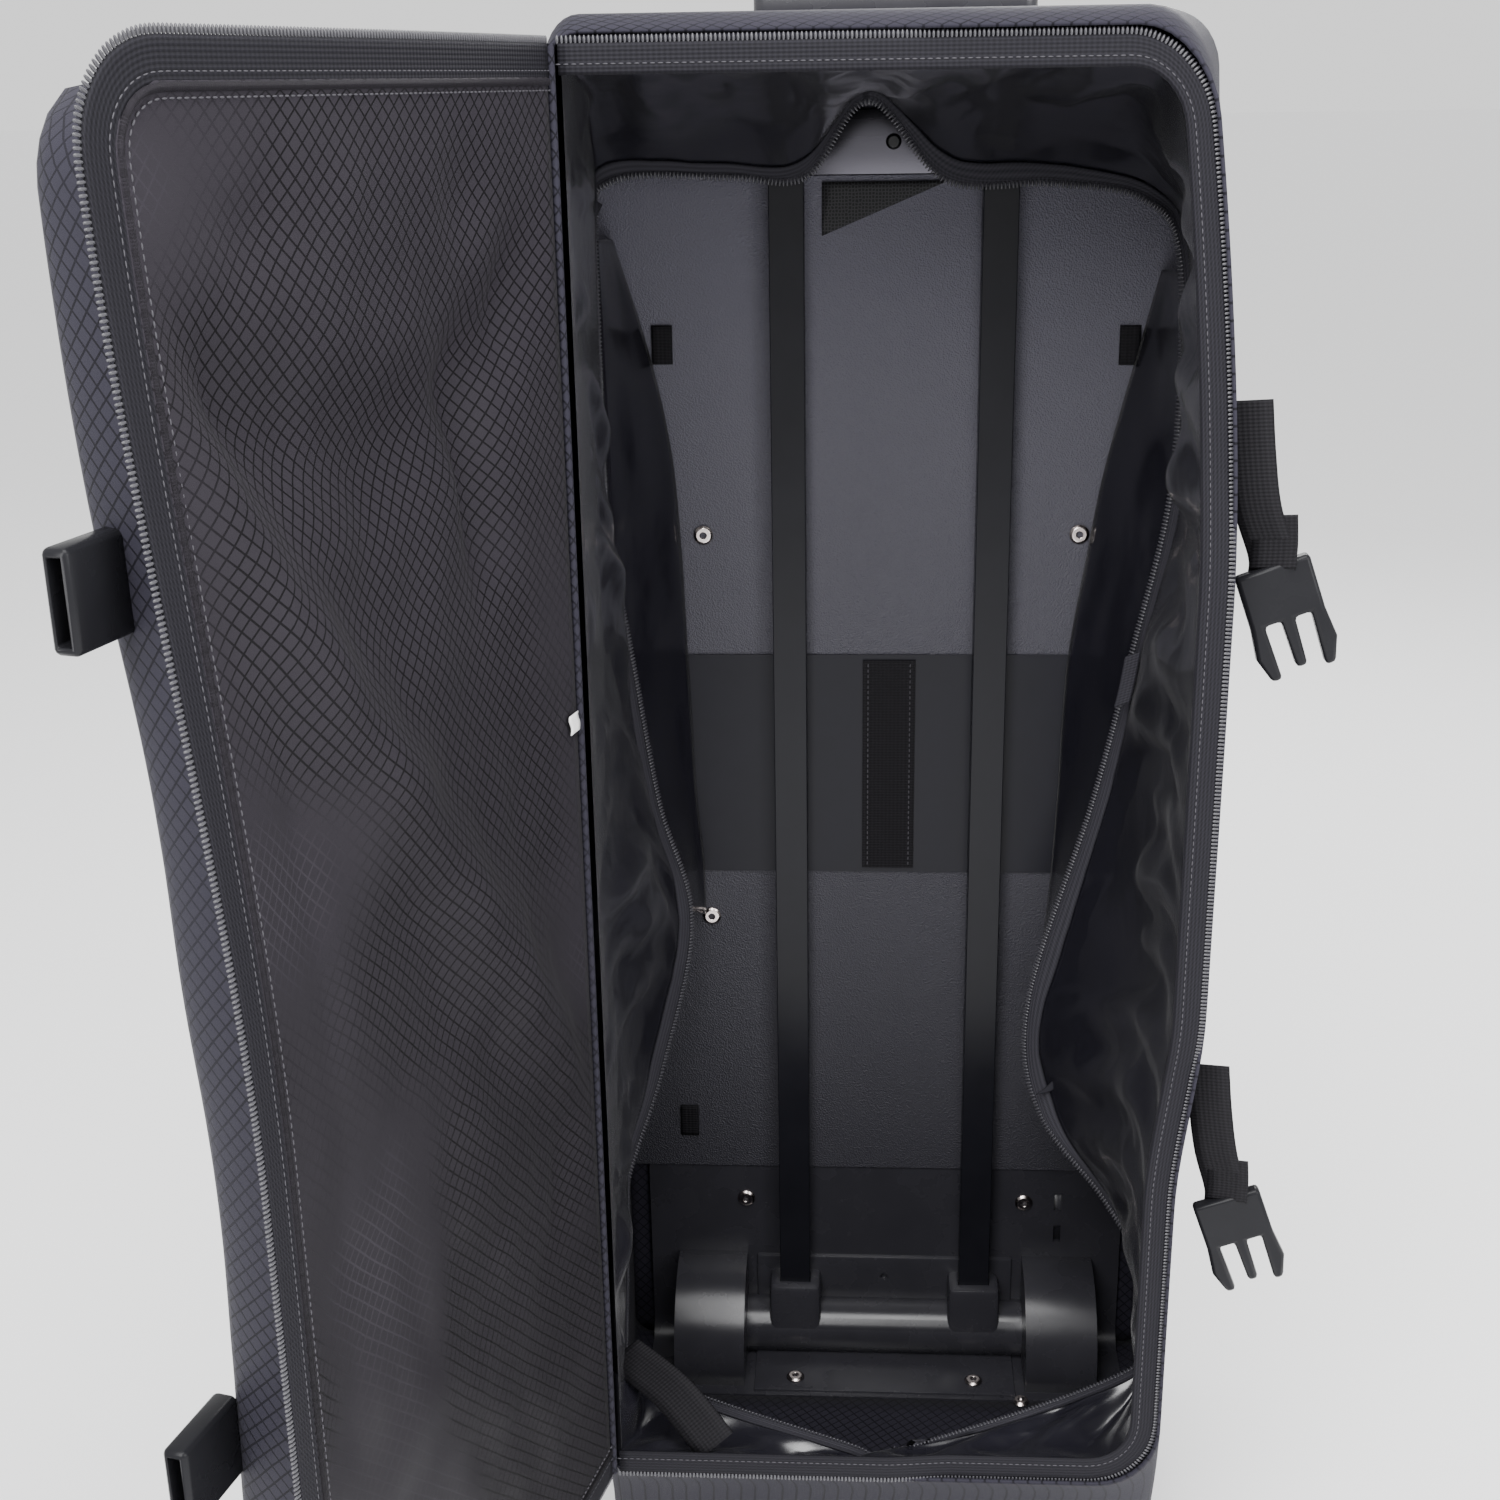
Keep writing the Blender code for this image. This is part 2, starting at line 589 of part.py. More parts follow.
# Telescopic handle
def square_tube(name, middle, size, wall, low, high, look):
    """A rectangular tube with open ends."""
    half = Vector((size[0] / 2, size[1] / 2, 0.0))
    bore = half - Vector((wall, wall, 0.0))
    tube = box(name, middle - half + Vector((0, 0, low)), middle + half + Vector((0, 0, high)), look)
    inside = box(name + "_bore", middle - bore + Vector((0, 0, low - wall)),
                 middle + bore + Vector((0, 0, high + wall)), collection=CUTTERS)
    combine(tube, inside, "DIFFERENCE")


def build_handle():
    """Fixed outer tubes, sliding inner tubes, grip, button, housing and the upper bracket."""
    y = tube_middle()
    top = RIM_TOP + WALL + GAP
    seat = top + HOUSING_HEIGHT
    for side, name in ((-1, "left"), (1, "right")):
        middle = Vector((side * TUBE_X, y, 0.0))
        square_tube(f"outer_tube_{name}", middle, (TUBE_WIDTH, TUBE_DEEP), TUBE_WALL, TUBE_FOOT,
                    RIM_TOP - GAP, TUBE_METAL)
        square_tube(f"inner_tube_{name}", middle, inner_size(), INNER_WALL, INNER_FOOT, seat, INNER_METAL)
    housing = box("handle_housing", (-HOUSING_HALF, y - HOUSING_DEEP / 2, top),
                  (HOUSING_HALF, y + HOUSING_DEEP / 2, seat), MOULDED, bevel=HOUSING_ROUND)
    cut_tube_holes(housing, top - WALL, seat + WALL)
    build_grip(y, seat + GAP)
    build_bracket()


def build_grip(y, low):
    """The grip over both inner tubes, with its push button."""
    high = low + GRIP_HEIGHT
    grip = box("grip", (-GRIP_HALF, y - GRIP_DEEP / 2, low), (GRIP_HALF, y + GRIP_DEEP / 2, high),
               MOULDED, bevel=GRIP_ROUND, segments=4)
    button_low = high + BUTTON_PROUD - BUTTON_HEIGHT
    half = Vector((BUTTON_LENGTH / 2, BUTTON_DEEP / 2, 0.0))
    fit = Vector((BUTTON_FIT, BUTTON_FIT, 0.0))
    middle = Vector((0.0, y, 0.0))
    well = box("button_well", middle - half - fit + Vector((0, 0, button_low - BUTTON_TRAVEL - GAP)),
               middle + half + fit + Vector((0, 0, high + BUTTON_PROUD)), collection=CUTTERS)
    combine(grip, well, "DIFFERENCE")
    box("release_button", middle - half + Vector((0, 0, button_low)),
        middle + half + Vector((0, 0, high + BUTTON_PROUD)), HUB_PLASTIC, bevel=BUTTON_ROUND)


def build_bracket():
    """The bright plate that ties the tubes together below the top wall, with its screw."""
    half = TUBE_X - TUBE_WIDTH / 2 - GAP
    back = DEPTH - GAP
    front = back - BRACKET_THICK
    bracket = box("tube_bracket", (-half, at_depth(front), BRACKET_TOP - BRACKET_HEIGHT),
                  (half, at_depth(back), BRACKET_TOP), NICKEL, bevel=BRACKET_ROUND)
    head = [(0.0, SCREW_HEIGHT), (SCREW_R * 0.7, SCREW_HEIGHT), (SCREW_R, SCREW_EDGE), (SCREW_R, 0.0)]
    head.append((0.0, 0.0))
    screw = turned("bracket_screw", head, NICKEL, steps=18)
    screw.location = (0.0, at_depth(front - GAP), bracket.location.z)
    screw.rotation_euler.x = math.pi / 2


def build_band():
    """The vinyl band between the board and the tubes, with its stitched middle strip."""
    back = DEPTH - GAP
    front = back - BAND_THICK
    box("tube_band", (-BAND_HALF, at_depth(front), BAND_BOTTOM),
        (BAND_HALF, at_depth(back), BAND_TOP), LINER)
    box("band_strip", (-STRIP_WIDTH / 2, at_depth(front - GAP - BAND_THICK), BAND_BOTTOM + STRIP_INSET),
        (STRIP_WIDTH / 2, at_depth(front - GAP), BAND_TOP - STRIP_INSET), WEBBING)


def build_liner():
    """The lining against the walls, in four panels joined at its seams."""
    front = TAPE_THICK + GAP + LINING_START
    far = DEPTH - LINING_END
    floor_start = SLOPE_DEPTH + LINING_HEM
    floor_end = CHASSIS_FRONT - LINING_DROP
    lift = BASE_Z + LINING_LIFT
    high = RIM_TOP - LINING_DROP
    lean = math.atan2(BACK_HALF - RIM_HALF, DEPTH)
    for side, name in ((-1, "left"), (1, "right")):
        points = [(front, RIM_BOTTOM + LINING_LAP), (floor_start, lift), (floor_end, lift)]
        points += [(far, CHASSIS_TOP + LINING_LAP), (far, high), (front, high)]
        panel = outline(f"lining_{name}", points, LINING, LINER)
        panel.rotation_euler = (math.pi / 2, 0.0, math.pi / 2 - side * lean)
        panel.location = (side * (RIM_HALF - GAP - LINING / 2), RIM_Y, 0.0)
    trim = 2 * LINING + 2 * GAP
    trapezoid("lining_top", front, DEPTH - LINING_BACK, RIM_TOP - GAP - WALL, LINER, trim)
    trapezoid("lining_bottom", floor_start, floor_end, BASE_Z + GAP, LINER, trim)


# Side straps
def buckle_points():
    """A male side release buckle: body, two springy arms and a middle guide."""
    half = BUCKLE_WIDTH / 2
    low = -BUCKLE_BODY
    tip = low - BUCKLE_PRONG
    arm = half - PRONG_WIDTH
    guide = PRONG_WIDTH / 2
    side = [(half, 0.0), (half, low), (half + BUCKLE_FLARE, low - BUCKLE_PRONG * 0.55), (half - 0.003, tip),
            (arm - 0.001, tip), (arm, low), (guide, low), (guide * 0.8, tip + 0.004)]
    return side + [(-x, y) for x, y in reversed(side)]


def build_straps():
    """Webbing straps sewn to the right wall, each with its hanging male buckle."""
    start = wall_outer(STRAP_DEPTH + BUCKLE_THICK / 2) + GAP
    y = at_depth(STRAP_DEPTH)
    for name, top in STRAP_TOPS:
        low = top - STRAP_LENGTH
        box(f"side_strap_{name}", (start, y - STRAP_THICK / 2, low),
            (start + STRAP_WIDTH, y + STRAP_THICK / 2, top), WEBBING)
        buckle = outline(f"male_buckle_{name}", buckle_points(), BUCKLE_THICK, MOULDED)
        buckle.rotation_euler.x = math.pi / 2
        buckle.location = (start + BUCKLE_WIDTH / 2 + BUCKLE_FLARE, y, low - GAP)


# Lid, drawn shut about its hinge and then swung open
def build_lid():
    """Inner panel, zipper tape, outer pocket and the straps with their female buckles."""
    hinge = bpy.data.objects.new("lid_hinge", None)
    BAG.objects.link(hinge)
    hinge.location = (-RIM_HALF, RIM_Y - LID_AXIS_OUT, 0.0)
    hinge.rotation_euler.z = -LID_OPEN
    width = 2 * RIM_HALF
    inner_y = LID_AXIS_OUT - GAP - TAPE_THICK / 2
    tape = outline("lid_zipper_tape", lid_tape_points(width), TAPE_THICK, ZIPPER)
    place_on_lid(tape, hinge, inner_y)
    panel_points = d_outline(LID_FROM_HINGE, width - TAPE - GAP, RIM_BOTTOM + TAPE + GAP,
                             RIM_TOP - TAPE - GAP, RIM_CORNER - TAPE)
    panel = outline("lid_panel", panel_points, LID_PANEL, FABRIC)
    outside = inner_y + TAPE_THICK / 2 - LID_PANEL
    place_on_lid(panel, hinge, outside + LID_PANEL / 2)
    build_pocket(hinge, width, outside - GAP)


def lid_tape_points(width):
    """The lid's half of the main zipper, outside the panel on three sides."""
    outer = d_outline(LID_FROM_HINGE, width, RIM_BOTTOM, RIM_TOP, RIM_CORNER)
    inner = d_outline(LID_FROM_HINGE, width - TAPE, RIM_BOTTOM + TAPE, RIM_TOP - TAPE, RIM_CORNER - TAPE)
    return outer + inner[::-1]


def place_on_lid(made, hinge, y):
    """Stands an outline upright in the shut lid's plane and parents it to the hinge."""
    made.parent = hinge
    made.rotation_euler.x = math.pi / 2
    made.location = (0.0, y, 0.0)


def build_pocket(hinge, width, seat):
    """The gusseted outer pocket, open towards the panel, with two straps over it."""
    low, high = RIM_BOTTOM + POCKET_MARGIN, RIM_TOP - POCKET_MARGIN
    near, far = LID_FROM_HINGE + POCKET_MARGIN, width - POCKET_MARGIN
    points = d_outline(near, far, low, high, POCKET_CORNER)
    pocket = outline("lid_pocket", points, POCKET_THICK, FABRIC)
    place_on_lid(pocket, hinge, seat - POCKET_THICK / 2)
    wall = POCKET_WALL
    hollow_points = d_outline(near + wall, far - wall, low + wall, high - wall, POCKET_CORNER - wall)
    hollow = outline("pocket_hollow", hollow_points, POCKET_THICK, collection=CUTTERS)
    place_on_lid(hollow, hinge, seat - POCKET_THICK / 2 + wall)
    combine(pocket, hollow, "DIFFERENCE")
    face = seat - POCKET_THICK - GAP
    back = face + LID_BUCKLE_SEAT
    front = back - LID_BUCKLE_HEIGHT
    start = far + GAP
    tip = start + LID_BUCKLE_LENGTH
    for name, top in STRAP_TOPS:
        strap = box(f"lid_strap_{name}", (near, face - LID_STRAP_THICK, top - STRAP_WIDTH),
                    (far, face, top), WEBBING)
        foot = top - STRAP_WIDTH / 2 - BUCKLE_WIDTH / 2
        head = foot + BUCKLE_WIDTH
        buckle = box(f"female_buckle_{name}", (start, front, foot), (tip, back, head), MOULDED,
                     bevel=LID_BUCKLE_ROUND)
        mouth = box(f"mouth_{name}", (tip - MOUTH_DEEP, front + MOUTH_WALL, foot + MOUTH_SIDE),
                    (tip + MOUTH_WALL, back - MOUTH_WALL, head - MOUTH_SIDE), collection=CUTTERS)
        combine(buckle, mouth, "DIFFERENCE")
        for piece in (strap, buckle, mouth):
            piece.parent = hinge


def build_foot():
    """The moulded stand foot under the front of the bottom, with a flat sole."""
    top = BASE_Z - WALL - GAP
    half = FOOT_DEEP / 2
    profile = [(-half + FOOT_TAPER, 0.0), (half - FOOT_TAPER, 0.0), (half, FOOT_TAPER * 2), (half, top),
               (-half, top), (-half, FOOT_TAPER * 2)]
    foot = outline("stand_foot", profile, 2 * FOOT_HALF, MOULDED)
    foot.rotation_euler = (math.pi / 2, 0.0, math.pi / 2)


build_body()
build_back()
build_chassis()
build_wheels()
build_handle()
build_band()
build_liner()
build_straps()
build_lid()
build_foot()
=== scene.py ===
"""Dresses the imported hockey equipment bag: soft shell, lining, lid, zippers, straps and finishes."""

import json
import math

import bmesh
import bpy
from mathutils import Matrix, Vector, noise


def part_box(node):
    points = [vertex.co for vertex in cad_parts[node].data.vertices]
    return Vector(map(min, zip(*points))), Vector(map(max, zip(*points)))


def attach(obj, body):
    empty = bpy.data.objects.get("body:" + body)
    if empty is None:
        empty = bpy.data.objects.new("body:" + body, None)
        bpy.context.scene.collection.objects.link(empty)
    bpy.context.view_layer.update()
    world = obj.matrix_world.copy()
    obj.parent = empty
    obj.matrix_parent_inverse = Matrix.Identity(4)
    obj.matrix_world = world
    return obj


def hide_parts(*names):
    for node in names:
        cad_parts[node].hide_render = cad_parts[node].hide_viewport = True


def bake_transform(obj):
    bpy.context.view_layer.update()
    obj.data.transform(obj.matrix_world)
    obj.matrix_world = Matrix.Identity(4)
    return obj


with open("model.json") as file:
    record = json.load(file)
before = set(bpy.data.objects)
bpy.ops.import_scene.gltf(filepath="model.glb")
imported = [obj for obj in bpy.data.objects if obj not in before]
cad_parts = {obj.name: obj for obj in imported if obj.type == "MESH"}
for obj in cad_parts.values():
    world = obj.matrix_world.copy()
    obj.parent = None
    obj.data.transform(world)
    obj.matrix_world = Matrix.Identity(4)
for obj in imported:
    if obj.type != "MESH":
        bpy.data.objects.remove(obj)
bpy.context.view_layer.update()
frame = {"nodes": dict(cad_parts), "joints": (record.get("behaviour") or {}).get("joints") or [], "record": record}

bl_info = {
    "name": "Hockey Equipment Bag Dressing",
    "version": (1, 0, 0),
    "blender": (4, 5, 0),
    "location": "View3D > Sidebar > Hockey Bag",
    "description": "Builds the soft pieces, zippers, finishes and stage of a wheeled hockey bag",
    "category": "Object",
}

JOINTS = {joint["name"]: joint for joint in frame["joints"]}

# Photograph's camera, in its 1500 pixel frame
PHOTO_SIZE = 1500
PHOTO_FOCAL = 1950
PHOTO_PITCH = math.radians(18.9)
PHOTO_YAW = math.radians(3.5)
PHOTO_ROLL = math.radians(-0.9)
CAMERA_FROM_RIM = Vector((-0.0198, -1.0906, -0.021))

# Sizes and colours that a user would change
class BagSizes(bpy.types.PropertyGroup):
    """Sizes of the soft pieces."""

    side_bulge: bpy.props.FloatProperty(
        name="Side bulge", description="How far the side walls swell", default=0.0055, min=0.0, unit="LENGTH")
    top_crown: bpy.props.FloatProperty(
        name="Top crown", description="Rise of the top's front over the zipper", default=0.011, min=0.0,
        unit="LENGTH")
    ripstop_cell: bpy.props.FloatProperty(
        name="Ripstop cell", description="Side of the ripstop's diamonds", default=0.0068, min=0.001,
        unit="LENGTH")
    coil_pitch: bpy.props.FloatProperty(
        name="Coil pitch", description="Distance between zipper coils", default=0.0024, min=0.001,
        unit="LENGTH")
    stitch_pitch: bpy.props.FloatProperty(
        name="Stitch pitch", description="Distance between stitches", default=0.0042, min=0.001,
        unit="LENGTH")
    lining_slack: bpy.props.FloatProperty(
        name="Lining slack", description="Height of the lining's loose folds", default=0.013, min=0.0,
        unit="LENGTH")
    buckle_tilt: bpy.props.FloatProperty(
        name="Buckle tilt", description="Turn of the hanging buckles", default=math.radians(20),
        subtype="ANGLE")


class BagColours(bpy.types.PropertyGroup):
    """Main colours."""

    outer: bpy.props.FloatVectorProperty(
        name="Outer fabric", description="Colour of the outer ripstop", default=(0.021, 0.0198, 0.028),
        subtype="COLOR", min=0.0, max=1.0)
    inside: bpy.props.FloatVectorProperty(
        name="Lid inside", description="Colour of the lid's inner face", default=(0.0070, 0.0062, 0.0078),
        subtype="COLOR", min=0.0, max=1.0)
    lining: bpy.props.FloatVectorProperty(
        name="Lining", description="Colour of the nylon lining", default=(0.0065, 0.0062, 0.0090),
        subtype="COLOR", min=0.0, max=1.0)
    board: bpy.props.FloatVectorProperty(
        name="Back board", description="Colour of the pebbled board", default=(0.027, 0.026, 0.034),
        subtype="COLOR", min=0.0, max=1.0)


def sizes():
    """The scene's size settings."""
    return bpy.context.scene.bag_sizes


def colours():
    """The scene's colour settings."""
    return bpy.context.scene.bag_colours


# Places taken from the frame
RIM_LOW, RIM_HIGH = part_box("rim_zipper_tape")
RIM_Y = RIM_LOW.y
RIM_TOP = RIM_HIGH.z
RIM_BOTTOM = RIM_LOW.z
RIM_HALF = RIM_HIGH.x
BOARD_LOW, BOARD_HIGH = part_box("back_board")
DEPTH = BOARD_LOW.y - RIM_Y
CHASSIS_LOW, CHASSIS_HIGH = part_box("wheel_chassis")
CHASSIS_FRONT = CHASSIS_LOW.y - RIM_Y
BASE_LOW, BASE_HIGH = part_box("bottom_wall")
SLOPE_DEPTH = BASE_LOW.y - RIM_Y
LID_AXIS = Vector(JOINTS["lid_hinge"]["pos_m"])
LID_OPEN = -math.radians(JOINTS["lid_hinge"]["range_deg"][1])
LID_WIDTH = 2 * RIM_HALF

# Form of the shell and the rim
WALL = 0.003
SHELL_START = 0.0018  # depth of the shell's front edge
SHELL_PAST_BOARD = 0.006
SIDE_EASE = 0.012  # how far from a side's face its swelling starts
SIDE_FOOT = 0.05  # height where the sides start to swell
SIDE_WRINKLE = 0.0030
CROWN_DEPTH = 0.26  # depth where the top's rise has died out
CROWN_EDGE = 0.03
CROWN_START = 0.018
DRAWN_FROM = 0.78  # height above which the right of the opening is drawn in
DRAWN_BY = 0.030
SAG_FROM = 0.52  # height below which its foot is drawn in
SAG_OVER = 0.14
SAG_BY = 0.012
RIM_CORNER = 0.045
HINGE_CORNER = 0.018
BACK_CORNER = 0.022
BASE_CORNER = 0.010
BACK_LAP = 0.0012  # how far the back fabric laps the side walls
BACK_SEAM = 0.004
OFF_CHASSIS = 0.0012
SLOT_PLATE_LOW = (0.130, 0.128)
SLOT_PLATE_SIZE = (0.030, 0.058)
TAPE = 0.016
HINGE_GAP = 0.004  # from the hinge line to the ends of both tapes

# Form of the lid
FLARE_FROM = 0.60  # height above which the lid flares
FLARE = math.radians(5)
LID_TAPE = TAPE + 0.003
PANEL_FROM_HINGE = 0.0060
PANEL_INSET = 0.0166
PANEL_END_INSET = 0.0168
PANEL_CORNER = 0.029
GUSSET_DEPTH = 0.012
GUSSET_SEAM = (0.016, 0.0044)  # across and out of the lid
POCKET_FROM_HINGE = 0.030
POCKET_INSET = 0.011
POCKET_CORNER = 0.046
POCKET_EDGE = 0.020
STRAP_END = 0.026
STRAP_END_LIFT = 0.049

# Form of the lining
LINING_COUNT = 640
LINING_ROWS = 80
LINING_TAPE_ROW = 76  # the lining's row under the zipper tape's outer edge
LINING_FOLDS = 46
LINING_TAPE_OUT = 0.0022

# Thickness of each cloth, and the sizes of coils, stitches and webbing
HEAVY_CLOTH = 0.0022
OUTER_CLOTH = 0.0016
TAPE_CLOTH = 0.0014
THIN_CLOTH = 0.0012
LINING_TAPE_CLOTH = 0.0010
NET_CLOTH = 0.0008
LINING_CLOTH = 0.0006
TAG_CLOTH = 0.0006
WEBBING_CLOTH = 0.0016
WEBBING_AXIS = (1, -0.35, 0.1)  # the way the side straps' width lies
COIL_RADIUS = 0.0009
COIL_HALF = 0.0026
COIL_OUT = 0.0016
LINING_COIL_PITCH = 0.0026
STITCH_RADIUS = 0.00035
BOLD_STITCH_RADIUS = 0.0005
STITCH_HALF = 0.0015

# Edge of the lining's opened zipper: photograph pixels and the depth behind the rim
LINING_EYE = (
    (868, 92, 0.29), (950, 172, 0.30), (1060, 178, 0.30), (1150, 195, 0.29), (1188, 260, 0.26),
    (1180, 480, 0.25), (1140, 650, 0.26), (1100, 800, 0.27), (1035, 1000, 0.27), (1045, 1110, 0.25),
    (1110, 1200, 0.20), (1160, 1290, 0.14), (1160, 1350, 0.09), (1080, 1395, 0.07), (890, 1455, 0.03),
    (850, 1448, 0.03), (640, 1372, 0.08), (605, 1300, 0.13), (622, 1180, 0.20), (655, 1070, 0.25),
    (685, 920, 0.27), (652, 800, 0.27), (622, 640, 0.26), (585, 450, 0.25), (566, 250, 0.26),
    (605, 178, 0.29), (720, 172, 0.30), (800, 170, 0.30),
)
# Lining behind that edge: pixel height, the edge's pixel and depth, and the fold's pixel on the board
FLAP_LEFT = (
    (240, 567, 0.262, 612), (350, 574, 0.256, 648), (450, 585, 0.252, 671), (545, 603, 0.256, 681),
    (640, 622, 0.262, 687), (720, 637, 0.266, 692), (800, 652, 0.272, 697), (860, 668, 0.272, 704),
    (915, 684, 0.272, 706),
)
FLAP_RIGHT = (
    (270, 1187, 0.260, 1162), (400, 1183, 0.254, 1124), (480, 1180, 0.252, 1102), (560, 1160, 0.256, 1086),
    (650, 1140, 0.262, 1069), (720, 1121, 0.266, 1062), (800, 1100, 0.272, 1057), (900, 1068, 0.272, 1048),
    (970, 1045, 0.272, 1038),
)
# Small trim: photograph pixels, and the depth behind the rim of what isn't on the board or the lid
LINING_TABS = (((1133, 654, 0.236), (1128, 680, 0.236), (1122, 705, 0.236)),
               ((1083, 1024, 0.222), (1077, 1054, 0.232), (1060, 1079, 0.240), (1043, 1093, 0.244)))
FLOOR_RIVET = (1021, 1400, 0.262)
HOOK_PATCHES = ((1130, 345), (690, 1120), (662, 345))
BOTTOM_TAIL = ((622, 1352, 0.050), (668, 1388, 0.026), (698, 1422, 0.012), (716, 1446, 0.005))
NET_CORNERS = ((822, 182), (950, 180), (822, 236))
TAG_TOP = (570, 706)


def drawn_in(z):
    """How far the slack upper right corner of the opening is drawn in at a height."""
    share = min(1.0, max(0.0, (z - DRAWN_FROM) / (RIM_TOP - DRAWN_FROM)))
    foot = min(1.0, max(0.0, (SAG_FROM - z) / SAG_OVER))
    return DRAWN_BY * share ** 1.6 + SAG_BY * foot * foot * (3 - 2 * foot)


def camera_axes():
    """Right, up and forward of the photograph's camera."""
    ahead = Vector((-math.sin(PHOTO_YAW), math.cos(PHOTO_YAW), 0))
    right = Vector((math.cos(PHOTO_YAW), math.sin(PHOTO_YAW), 0))
    up = Vector((0, 0, 1))
    forward = ahead * math.cos(PHOTO_PITCH) - up * math.sin(PHOTO_PITCH)
    level_up = ahead * math.sin(PHOTO_PITCH) + up * math.cos(PHOTO_PITCH)
    turned_right = right * math.cos(PHOTO_ROLL) + level_up * math.sin(PHOTO_ROLL)
    turned_up = level_up * math.cos(PHOTO_ROLL) - right * math.sin(PHOTO_ROLL)
    return turned_right, turned_up, forward


def camera_place():
    """Where the photograph was taken from."""
    return Vector((0, RIM_Y, RIM_TOP)) + CAMERA_FROM_RIM


def on_depth(px, py, depth):
    """The point behind a photograph pixel on the upright plane at a depth behind the rim."""
    right, up, forward = camera_axes()
    across = (px - PHOTO_SIZE / 2) / PHOTO_FOCAL
    down = (py - PHOTO_SIZE / 2) / PHOTO_FOCAL
    ray = forward + right * across - up * down
    start = camera_place()
    return start + ray * ((RIM_Y + depth - start.y) / ray.y)


# Material helpers
class Nodes:
    """Short calls for building a node material."""

    def __init__(self, name, colour, roughness, metallic=0.0):
        self.material = bpy.data.materials.new(name)
        self.material.use_nodes = True
        self.tree = self.material.node_tree
        self.shader = self.tree.nodes["Principled BSDF"]
        self.shader.inputs["Base Color"].default_value = (*colour, 1)
        self.shader.inputs["Roughness"].default_value = roughness
        self.shader.inputs["Metallic"].default_value = metallic

    def add(self, kind, links=(), **values):
        node = self.tree.nodes.new(kind)
        for key, value in values.items():
            setattr(node, key, value)
        for socket, source in links:
            if isinstance(source, bpy.types.NodeSocket):
                self.tree.links.new(source, node.inputs[socket])
            else:
                node.inputs[socket].default_value = source
        return node

    def math(self, operation, a, b=0.0):
        return self.add("ShaderNodeMath", [(0, a), (1, b)], operation=operation).outputs[0]

    def place(self):
        return self.add("ShaderNodeTexCoord").outputs["Object"]

    def height(self):
        parts = self.add("ShaderNodeSeparateXYZ", [(0, self.place())])
        spread = self.add("ShaderNodeMapRange", [("Value", parts.outputs[2]), ("From Min", RIM_BOTTOM),
                                                 ("From Max", RIM_TOP)])
        return spread.outputs["Result"]

    def uv(self):
        return self.add("ShaderNodeUVMap", uv_map="flat").outputs[0]

    def noise(self, scale, vector, detail=4.0):
        links = [("Vector", vector), ("Scale", scale), ("Detail", detail)]
        return self.add("ShaderNodeTexNoise", links).outputs["Fac"]

    def ramp(self, value, low, high):
        spread = self.add("ShaderNodeMapRange", [("Value", value), ("To Min", low), ("To Max", high)])
        return spread.outputs["Result"]

    def mix(self, value, first, second):
        ends = [end if isinstance(end, bpy.types.NodeSocket) else (*end, 1) for end in (first, second)]
        links = [("Factor", value), (6, ends[0]), (7, ends[1])]
        return self.add("ShaderNodeMix", links, data_type="RGBA").outputs[2]

    def tint(self, value, first, second):
        self.tree.links.new(self.mix(value, first, second), self.shader.inputs["Base Color"])

    def rough(self, value, low, high):
        self.tree.links.new(self.ramp(value, low, high), self.shader.inputs["Roughness"])

    def bump(self, height, distance, strength=1.0):
        links = [("Height", height), ("Distance", distance), ("Strength", strength)]
        self.tree.links.new(self.add("ShaderNodeBump", links).outputs[0], self.shader.inputs["Normal"])

    def shine(self, specular, sheen=0.0):
        self.shader.inputs["Specular IOR Level"].default_value = specular
        self.shader.inputs["Sheen Weight"].default_value = sheen


def grid_lines(made, cell, line, turn):
    """A mask of thin raised threads in a turned square grid on the flat UV, in metres."""
    turned = made.add("ShaderNodeMapping", [("Vector", made.uv())])
    turned.inputs["Rotation"].default_value = (0, 0, turn)
    turned.inputs["Scale"].default_value = (1 / cell, 1 / cell, 1)
    parts = made.add("ShaderNodeSeparateXYZ", [(0, turned.outputs[0])])
    masks = []
    for axis in (0, 1):
        folded = made.math("PINGPONG", parts.outputs[axis], 0.5)
        masks.append(made.math("LESS_THAN", folded, line))
    return made.math("MAXIMUM", masks[0], masks[1])


def ripstop(name, dark, light, thread, cell, roughness):
    """Coated ripstop with a diamond grid of heavier threads, random blotches, and painted top light that lightens
    it towards the top.
    """
    made = Nodes(name, dark, roughness)
    lines = grid_lines(made, cell, 0.075, math.radians(45))
    weave = grid_lines(made, 0.0009, 0.20, 0.0)
    blotch = made.noise(9.0, made.place())
    # Painted light: the ground lightens with height, standing in for light falling from above; the blotch part is
    # random tone of the cloth.
    blotch_and_painted_top_light = made.math("ADD", made.math("MULTIPLY", blotch, 0.4), made.math("MULTIPLY", made.height(), 0.8))
    ground = made.mix(blotch_and_painted_top_light, dark, light)
    # Painted highlight: where the thread colour is lighter than the ground, as on the lid's inner face, the noise
    # patches of pale threads stand in for glancing highlights on the threads; a darker thread colour gives plain
    # dark threads.
    patch = made.ramp(made.noise(5.0, made.place(), 1.0), -3.4, 2.8)
    threads = made.mix(patch, shade(dark, 0.3), thread)
    made.tint(made.math("MULTIPLY", lines, 0.85), ground, threads)
    made.rough(blotch, roughness - 0.08, roughness + 0.08)
    made.bump(made.math("ADD", lines, made.math("MULTIPLY", weave, 0.25)), 0.0005, 0.8)
    made.shine(0.07, 0.02)
    return made.material


def shade(colour, times):
    """A lighter or darker version of a colour."""
    return tuple(min(1.0, value * times) for value in colour)


